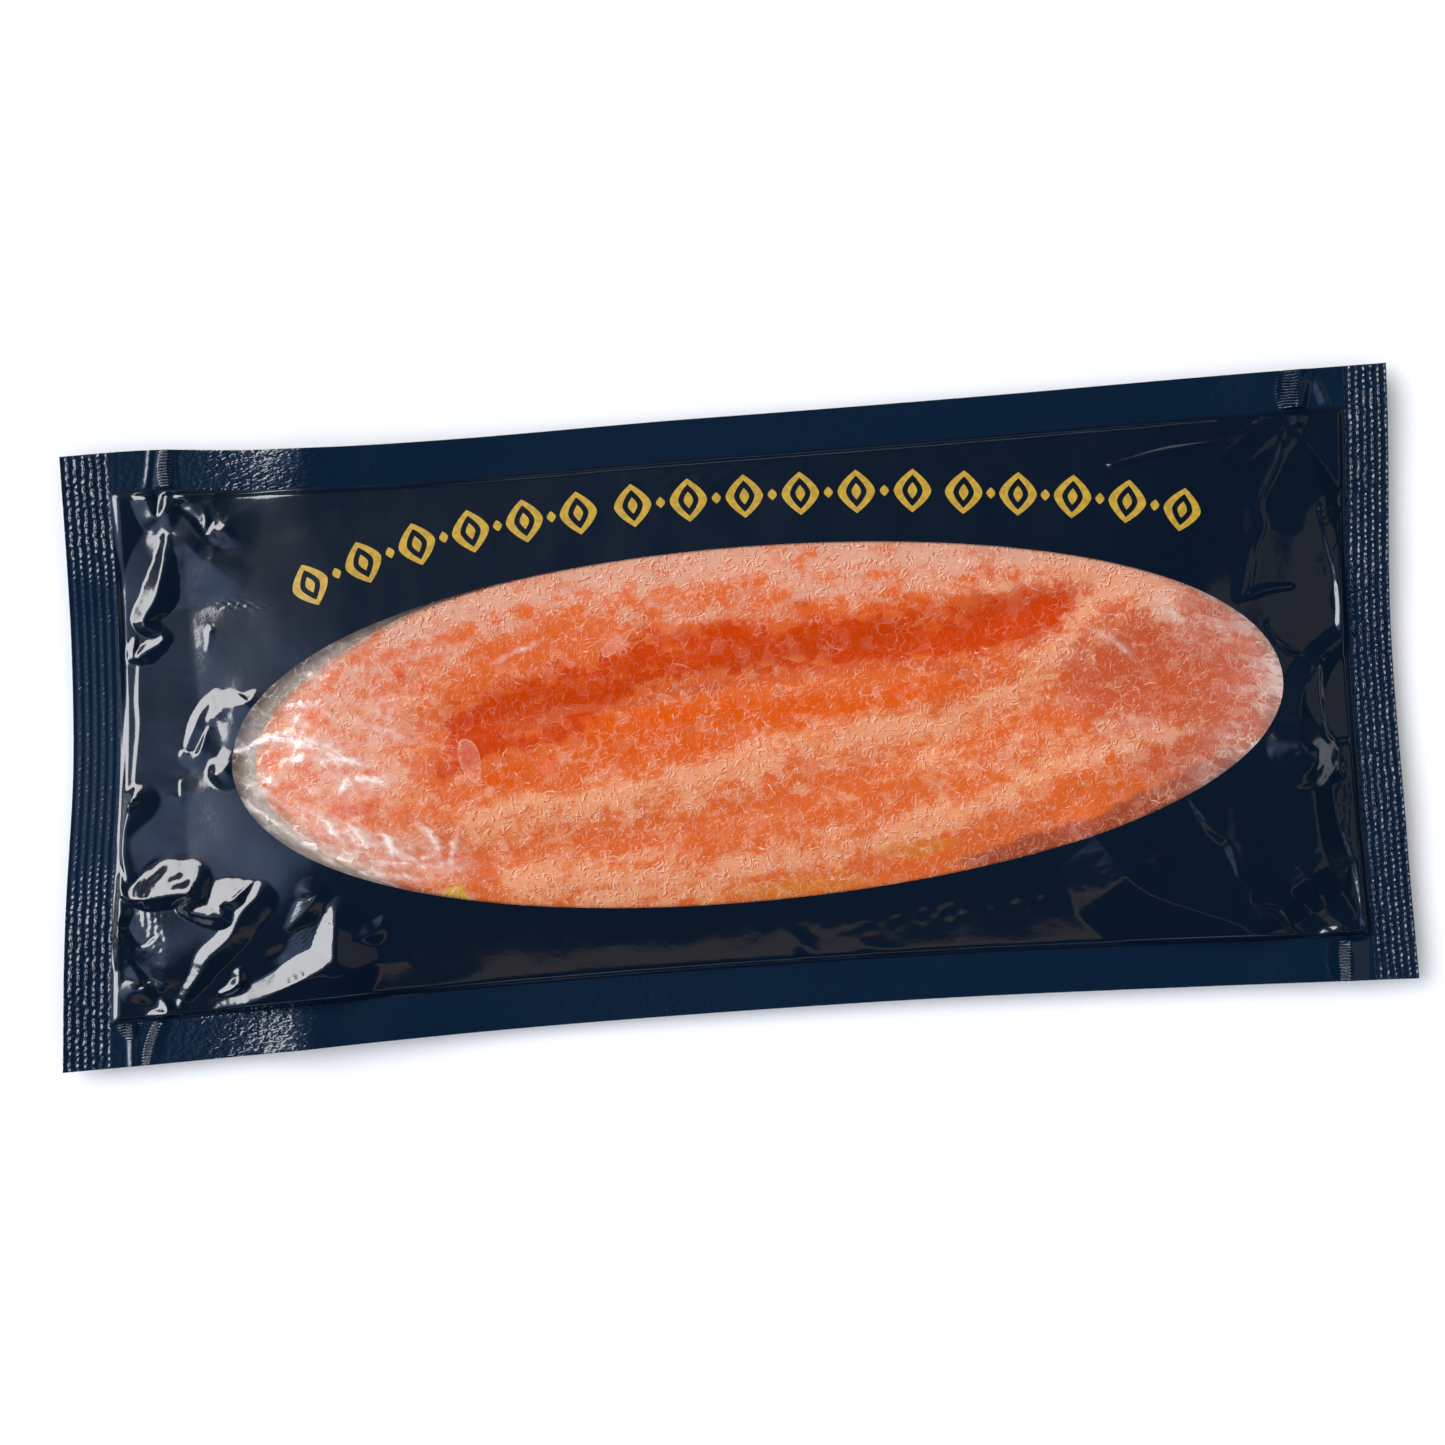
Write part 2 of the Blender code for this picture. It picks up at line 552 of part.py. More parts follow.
def make_pouch():
    """The pouch: flat seals all round, a pillow between them, and an oval well under the window."""
    x, y, ends, sides = pouch_plan()
    skin = Skin()
    level = seal_level(x, y) + crimp(x, y)
    upper = level + SEAL_THICKNESS / 2
    lower = np.minimum(level - SEAL_THICKNESS / 2, back_height(x, y))
    lower[sides:-sides, ends:-ends] = back_height(x, y)[sides:-sides, ends:-ends]

    # Seals on top, as four bands round the pillow.
    for rows, columns in (
        (slice(None), slice(0, ends + 1)),
        (slice(None), slice(-ends - 1, None)),
        (slice(0, sides + 1), slice(ends, -ends)),
        (slice(-sides - 1, None), slice(ends, -ends)),
    ):
        skin.grid(x[rows, columns], y[rows, columns], upper[rows, columns])
    skin.grid(x, y, lower, flip=True)

    # The cut edge all round.
    def around(grid):
        return np.concatenate([grid[0, :-1], grid[:-1, -1], grid[-1, :0:-1], grid[:0:-1, 0]])

    rim = [around(grid) for grid in (x, y, upper)]
    base = around(lower)
    skin.grid(
        np.stack([rim[0], rim[0]]), np.stack([rim[1], rim[1]]), np.stack([rim[2], base]),
        closed_round=True,
    )

    # The pillow's front, ring by ring from the seals in to the window.
    inner = (slice(sides, -sides), slice(ends, -ends))
    seal_x, seal_y = around(x[inner]), around(y[inner])
    seal_z = around(upper[inner])
    angle = np.arctan2(
        (seal_y - WINDOW_CENTRE[1]) / (SEAL_CENTRE_Y - WINDOW_CENTRE[1]),
        (seal_x - WINDOW_CENTRE[0]) / (SEAL_CENTRE_X - WINDOW_CENTRE[0]),
    )
    edge_x, edge_y = window_outline(angle - WINDOW_TILT, 0.0)
    share = eased(PILLOW_RINGS, RING_POWER)[::-1, None]
    ring_x = edge_x + (seal_x - edge_x) * share
    ring_y = edge_y + (seal_y - edge_y) * share
    ring_z = front_height(ring_x, ring_y)
    ring_z[0] = seal_z
    skin.grid(ring_x, ring_y, ring_z, closed_round=True)

    # The well: its wall, and its floor in to the middle.
    floor_share = np.linspace(1.0, 0.0, WELL_FLOOR_RINGS + 1)[:-1, None]
    well_x = WINDOW_CENTRE[0] + (edge_x - WINDOW_CENTRE[0]) * floor_share
    well_y = WINDOW_CENTRE[1] + (edge_y - WINDOW_CENTRE[1]) * floor_share
    wall_z = np.stack([ring_z[-1], np.full_like(edge_x, WELL_FLOOR)])
    skin.grid(np.stack([edge_x, edge_x]), np.stack([edge_y, edge_y]), wall_z, closed_round=True)
    index = skin.grid(well_x, well_y, np.full_like(well_x, WELL_FLOOR), closed_round=True)
    skin.cap(index[-1], (*WINDOW_CENTRE, WELL_FLOOR))
    return make_object("pouch", skin, make_material("navy_film", NAVY_FILM))


def disc(rings, outline_x, outline_y):
    """Rings from an outline in to the window's middle, without the middle point."""
    share = np.linspace(1.0, 0.0, rings + 1)[:-1, None]
    x = WINDOW_CENTRE[0] + (outline_x - WINDOW_CENTRE[0]) * share
    y = WINDOW_CENTRE[1] + (outline_y - WINDOW_CENTRE[1]) * share
    return x, y


def make_window():
    """The clear part of the front film: a thin domed oval that fills the mouth of the well."""
    angle = np.linspace(0.0, 2 * np.pi, WINDOW_SEGMENTS, endpoint=False)
    x, y = disc(WINDOW_RINGS, *window_outline(angle, CLEARANCE))
    middle = np.array(WINDOW_CENTRE)
    top = front_height(x, y)
    peak = float(front_height(middle[:1], middle[1:])[0])
    skin = Skin()
    outer = skin.grid(x, y, top, closed_round=True)
    skin.cap(outer[-1], (*middle, peak))
    inner = skin.grid(x, y, top - WINDOW_FILM, closed_round=True, flip=True)
    skin.cap(inner[-1], (*middle, peak - WINDOW_FILM), flip=True)
    skin.grid(
        np.stack([x[0], x[0]]), np.stack([y[0], y[0]]), np.stack([top[0], top[0] - WINDOW_FILM]),
        closed_round=True,
    )
    return make_object("clear_window", skin, make_material("clear_film", CLEAR_FILM))


def make_fillet():
    """The fillet: it fills the well but for the gap at the left tip, and its edge there is rounded."""
    angle = np.linspace(0.0, 2 * np.pi, WINDOW_SEGMENTS, endpoint=False)
    turn = (angle - FILLET_SHORTFALL_ANGLE) / FILLET_SHORTFALL_SPREAD
    gap = np.exp(-(turn**4))
    edge_x, edge_y = window_outline(angle, CLEARANCE)
    edge_x = edge_x + FILLET_SHORTFALL * gap * (-np.cos(angle))
    edge_y = edge_y - FILLET_SHORTFALL * gap * np.sin(angle)
    x, y = disc(FILLET_RINGS, edge_x, edge_y)
    under = WINDOW_FILM + FILM_GAP
    top = front_height(x, y) - under
    top[0] -= FILLET_EDGE_DROP * (FILLET_EDGE_DROP_SHARE + (1 - FILLET_EDGE_DROP_SHARE) * gap)
    top[1] -= FILLET_SECOND_RING_DROP * FILLET_EDGE_DROP * gap
    middle = np.array(WINDOW_CENTRE)
    peak = float(front_height(middle[:1], middle[1:])[0]) - under
    base = np.full_like(x[:1], WELL_FLOOR + CLEARANCE)
    skin = Skin()
    upper = skin.grid(x, y, top, closed_round=True)
    skin.cap(upper[-1], (*middle, peak))
    skin.grid(np.stack([x[0], x[0]]), np.stack([y[0], y[0]]), np.stack([top[0], base[0]]), closed_round=True)
    lower = skin.grid(x[:1], y[:1], base, closed_round=True)
    skin.cap(lower[0], (*middle, WELL_FLOOR + CLEARANCE))
    return make_object("trout_fillet", skin, make_material("trout_flesh", TROUT_FLESH))


def main():
    for leftover in list(bpy.data.objects):
        bpy.data.objects.remove(leftover, do_unlink=True)
    make_pouch()
    make_window()
    make_fillet()


main()
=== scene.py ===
"""The looks of a sealed pack of smoked trout: a glossy navy film pouch with crimped ends, an oval clear
window with its finely creased film, and the fillet under it. Lengths are in millimetres up to make_mesh,
which turns them into metres. +X runs along the pack, +Y across it, +Z up out of the window."""

import math

import bmesh
import bpy
import numpy as np
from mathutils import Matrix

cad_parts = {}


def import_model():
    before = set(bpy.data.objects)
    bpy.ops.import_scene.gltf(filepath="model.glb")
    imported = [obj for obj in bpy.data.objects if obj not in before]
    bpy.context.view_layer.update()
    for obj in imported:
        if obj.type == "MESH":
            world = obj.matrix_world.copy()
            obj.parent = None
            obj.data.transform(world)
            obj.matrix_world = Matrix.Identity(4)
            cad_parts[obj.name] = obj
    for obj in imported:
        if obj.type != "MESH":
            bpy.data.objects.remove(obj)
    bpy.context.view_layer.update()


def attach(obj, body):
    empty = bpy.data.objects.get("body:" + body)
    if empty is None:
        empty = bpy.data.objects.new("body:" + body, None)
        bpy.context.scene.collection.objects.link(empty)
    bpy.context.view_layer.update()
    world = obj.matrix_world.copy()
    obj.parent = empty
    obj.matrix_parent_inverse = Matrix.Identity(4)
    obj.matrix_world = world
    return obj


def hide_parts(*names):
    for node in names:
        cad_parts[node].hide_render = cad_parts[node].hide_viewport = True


MM = 0.001
TURN = 2 * math.pi

# ---------------------------------------------------------------- the pack's plan, as in the solids
HALF_LENGTH = 143.2
HALF_WIDTH = 64.5
LEFT_EDGE_X_BY_Y = ((-64.5, -143.2), (-31.0, -140.4), (0.0, -136.7), (25.0, -135.3), (64.5, -135.0))
RIGHT_EDGE_X_BY_Y = ((-64.5, 141.2), (-33.0, 140.7), (22.0, 140.9), (43.0, 142.3), (64.5, 143.2))
BOTTOM_EDGE_Y_BY_X = (
    (-143.2, -64.4), (-115.0, -63.8), (-70.0, -62.3), (0.0, -61.4),
    (45.0, -61.7), (95.0, -63.0), (143.2, -64.5),
)
TOP_EDGE_Y_BY_X = (
    (-143.2, 64.1), (-113.0, 64.2), (-100.0, 63.2), (0.0, 63.0),
    (60.0, 63.5), (110.0, 64.3), (143.2, 64.5),
)
LEFT_SEAL = 10.0
RIGHT_SEAL = 9.0
BOTTOM_SEAL = 9.0
TOP_SEAL = 8.3
SEAL_THICKNESS = 0.4
SEAL_LEVEL = 4.6
CORNER_LIFT = 1.1

WINDOW_CENTRE = (6.0, -1.6)
WINDOW_HALF_LENGTH = 110.7
WINDOW_HALF_WIDTH = 37.2
WINDOW_TILT = math.radians(1.0)
WINDOW_EGG = 0.008

# The pillow: a short step just inside the seals, then a long rise to the fillet's back.
STEP_RISE = 0.8
STEP_LENGTH = 1.0
STEP_PLACE = 0.9
SLOPE_RISE = 9.4
END_REACH = 66.0
SIDE_REACH = 47.0
CORNER_POWER = 4.5
SLOPE_POWER = 2.1
BACK_DROP = 6.6
BACK_POWER = 4
BACK_SHOULDER = 0.8
LONG_SEAL_WAVES_FROM = 0.70
END_SEAL_WAVES_FROM = 0.86

# Waves in the long seals: place along X, height, spread, and which side (1 the upper, -1 the lower).
SEAL_WAVES = (
    (-85.0, 2.2, 8.0, 1), (-70.0, 2.2, 18.0, 1), (20.0, -0.4, 40.0, 1), (118.0, 0.5, 8.0, 1),
    (-93.0, 2.4, 8.0, -1), (-78.0, 2.2, 16.0, -1), (-36.0, -0.5, 22.0, -1), (60.0, 0.4, 34.0, -1),
    (117.0, 0.6, 9.0, -1),
)
# Waves in the end seals: place along Y, height, spread, and which end (1 the right, -1 the left).
END_WAVES = (
    (38.0, 0.7, 10.0, -1), (-4.0, -0.5, 22.0, -1), (-45.0, 0.8, 13.0, -1),
    (54.0, 0.6, 8.0, 1), (24.0, 0.9, 9.0, 1), (-26.0, 0.9, 13.0, 1),
)

# How the picture was framed: the pack is turned a little, seen from straight above.
PICTURE_PIXELS = 1445
MM_PER_PIXEL = 0.2094
PACK_TURN = math.radians(4.0)
PACK_CENTRE_PIXEL = (724.4, 718.1)
LENS = 120.0
SENSOR = 36.0


def smooth_curve(points, at):
    """A cubic through the points: Hermite pieces whose end slopes are the mean of the slopes on each side."""
    x, y = np.array(points, float).T
    slope = np.gradient(y, x)
    left = np.clip(np.searchsorted(x, at) - 1, 0, len(x) - 2)
    span = x[left + 1] - x[left]
    t = np.clip((at - x[left]) / span, 0.0, 1.0)
    return (
        (1 + 2 * t) * (1 - t) ** 2 * y[left]
        + t * (1 - t) ** 2 * span * slope[left]
        + t**2 * (3 - 2 * t) * y[left + 1]
        - t**2 * (1 - t) * span * slope[left + 1]
    )


def smooth_step(low, high, value):
    """0 below low, 1 above high, and 3t^2 - 2t^3 between them."""
    t = np.clip((value - low) / (high - low), 0.0, 1.0)
    return t * t * (3 - 2 * t)


RIPPLE_SPREAD = (0.7, 1.4)
RIPPLE_PEAK = 1.6


def ripple(x, y, wavelength, seed, waves=14):
    """Smooth noise of about -1 to 1: cosines of nearly one wavelength, in seeded random directions."""
    draw = np.random.default_rng(seed)
    total = np.zeros_like(x, dtype=float)
    for _ in range(waves):
        turn = draw.uniform(0, TURN)
        number = TURN / (wavelength * draw.uniform(*RIPPLE_SPREAD))
        phase = draw.uniform(0, TURN)
        total += np.cos(number * (x * np.cos(turn) + y * np.sin(turn)) + phase)
    return total * np.sqrt(2.0 / waves) / RIPPLE_PEAK


def turned(x, y, degrees):
    """Places along and across a direction at this angle from +X."""
    turn = math.radians(degrees)
    return x * math.cos(turn) + y * math.sin(turn), y * math.cos(turn) - x * math.sin(turn)


def inside_seals(x, y):
    """Distances in from the seals' inner lines: the left and right ones, then the lower and upper ones."""
    return (
        x - smooth_curve(LEFT_EDGE_X_BY_Y, y) - LEFT_SEAL,
        smooth_curve(RIGHT_EDGE_X_BY_Y, y) - RIGHT_SEAL - x,
        y - smooth_curve(BOTTOM_EDGE_Y_BY_X, x) - BOTTOM_SEAL,
        smooth_curve(TOP_EDGE_Y_BY_X, x) - TOP_SEAL - y,
    )


def seal_level(x, y):
    """Height of the middle of the seals: long gentle waves, and corners that turn up a little."""
    corner = (x / HALF_LENGTH) ** 6 * (y / HALF_WIDTH) ** 2
    wave = 0.0
    for centre, height, spread, side in SEAL_WAVES:
        near_side = smooth_step(LONG_SEAL_WAVES_FROM, 1.0, side * y / HALF_WIDTH)
        wave = wave + height * near_side * np.exp(-(((x - centre) / spread) ** 2))
    for centre, height, spread, side in END_WAVES:
        near_end = smooth_step(END_SEAL_WAVES_FROM, 1.0, side * x / HALF_LENGTH)
        wave = wave + height * near_end * np.exp(-(((y - centre) / spread) ** 2))
    return SEAL_LEVEL + CORNER_LIFT * corner + wave


def rounded_reach(x, y):
    """0 well inside the pillow and 1 at the seals, along a rectangle with rounded corners."""
    left, right, lower, upper = inside_seals(x, y)
    along = np.clip(1 - np.minimum(left, right) / END_REACH, 0.0, 1.5)
    across = np.clip(1 - np.minimum(lower, upper) / SIDE_REACH, 0.0, 1.5)
    return (along**CORNER_POWER + across**CORNER_POWER) ** (1 / CORNER_POWER)


LEAST_DISTANCE = 0.02


def nearest_seal(x, y):
    """Distance in from the nearest seal line, rounded where two meet: (ends^-4 + sides^-4)^(-1/4)."""
    left, right, lower, upper = inside_seals(x, y)
    ends = np.maximum(np.minimum(left, right), LEAST_DISTANCE)
    sides = np.maximum(np.minimum(lower, upper), LEAST_DISTANCE)
    return (ends**-4.0 + sides**-4.0) ** -0.25


def pillow_rise(x, y):
    """The front film above the seals: a logistic step just inside them, and a slope of
    rise * (1 - reach^power)."""
    scale = STEP_LENGTH / 4
    step = 1 / (1 + np.exp(-(nearest_seal(x, y) - STEP_PLACE) / scale))
    step = (step - 1 / (1 + np.exp(STEP_PLACE / scale))) * STEP_RISE
    slope = SLOPE_RISE * np.clip(1 - rounded_reach(x, y) ** SLOPE_POWER, 0.0, 1.0)
    return step + slope


def back_height(x, y):
    """The back film: it drops from the seals and lies flat on the surface below."""
    drop = BACK_DROP * np.clip(1 - rounded_reach(x, y) ** BACK_POWER, 0.0, 1.0) ** BACK_SHOULDER
    return np.maximum(seal_level(x, y) - SEAL_THICKNESS / 2 - drop, 0.0)


# ---------------------------------------------------------------- folds of the front film
FOLD_SAMPLES = 22
FOLD_SHARING = (0.05, 0.12)
SMALL_DISTANCE = 1e-6
FOLD_CREST = 0.22
FOLD_FOOT = 0.12
# A fold with a face flatter than this slope is rounder, by these times more for each unit of slope.
GENTLE_SLOPE = 0.2
GENTLE_CREST = 4.0
GENTLE_FOOT = 0.8
FOLD_MARGIN = (0.2, 1.2)
FOLD_FADE = 1.4


def smooth_path(path, samples):
    """Points spaced along a Catmull-Rom curve through the path's own points."""
    knots = np.array(path, float)
    if len(knots) == 2:
        share = np.linspace(0.0, 1.0, samples)[:, None]
        return knots[0] + (knots[1] - knots[0]) * share
    padded = np.concatenate([2 * knots[:1] - knots[1:2], knots, 2 * knots[-1:] - knots[-2:-1]])
    place = np.linspace(0.0, len(knots) - 1.0, samples)
    i = np.minimum(place.astype(int), len(knots) - 2)
    t = (place - i)[:, None]
    a, b, c, d = padded[i], padded[i + 1], padded[i + 2], padded[i + 3]
    return b + 0.5 * t * (c - a + t * (2 * a - 5 * b + 4 * c - d + t * (3 * (b - c) + d - a)))


def beside_path(x, y, path, heights):
    """Distance to a path, the side that a point lies on (1 its left, -1 its right, between them past its
    ends) and the path's height there. Parts of the path that are about as near as the nearest one share in
    the last two."""
    knots = smooth_path(path, FOLD_SAMPLES)
    start, step = knots[:-1], np.diff(knots, axis=0)
    length = np.hypot(step[:, 0], step[:, 1])
    before = np.concatenate([[0.0], np.cumsum(length)[:-1]])
    dx = np.ravel(x)[:, None] - start[:, 0]
    dy = np.ravel(y)[:, None] - start[:, 1]
    t = np.clip((dx * step[:, 0] + dy * step[:, 1]) / length**2, 0.0, 1.0)
    away = np.hypot(dx - t * step[:, 0], dy - t * step[:, 1])
    nearest = away.min(axis=1)[:, None]
    weight = np.exp((nearest - away) / (FOLD_SHARING[0] + FOLD_SHARING[1] * nearest))
    weight /= weight.sum(axis=1)[:, None]
    lean = (step[:, 0] * dy - step[:, 1] * dx) / (length * np.maximum(away, SMALL_DISTANCE))
    share = (before + t * length) / length.sum()
    height = np.interp(share, np.linspace(0.0, 1.0, len(heights)), heights)
    shape = np.shape(x)
    side = (weight * np.clip(lean, -1.0, 1.0)).sum(axis=1)
    return nearest.reshape(shape), side.reshape(shape), (weight * height).sum(axis=1).reshape(shape)


def fold(x, y, path, heights, left_slope, right_slope):
    """A crease: its crest follows the path at the heights given, and flat faces fall off it on both sides.
    The foot is rounded by (face + foot)^2 / (4 foot), and past it there is nothing."""
    away, side, height = beside_path(x, y, path, heights)
    slope = right_slope + (left_slope - right_slope) * (0.5 + 0.5 * side)
    gentle = np.maximum(0.0, GENTLE_SLOPE - slope)
    crest, foot = FOLD_CREST + GENTLE_CREST * gentle, FOLD_FOOT + GENTLE_FOOT * gentle
    sign = np.sign(sum(heights)) or 1.0
    face = np.abs(height) - slope * (np.sqrt(away**2 + crest**2) - crest)
    return sign * np.where(face > foot, face, np.maximum(face + foot, 0.0) ** 2 / (4 * foot))


def folds_relief(x, y, folds):
    """The sum of many folds, each worked out only for the points that it can reach."""
    relief = np.zeros(np.shape(x))
    for path, heights, left_slope, right_slope in folds:
        gentlest = min(left_slope, right_slope)
        foot = FOLD_MARGIN[0] + GENTLE_FOOT * max(0.0, GENTLE_SLOPE - gentlest)
        reach = (max(abs(h) for h in heights) + foot) / gentlest + FOLD_MARGIN[1]
        low, high = np.min(path, axis=0) - reach, np.max(path, axis=0) + reach
        near = (x > low[0]) & (x < high[0]) & (y > low[1]) & (y < high[1])
        if near.any():
            relief[near] += fold(x[near], y[near], path, heights, left_slope, right_slope)
    return relief


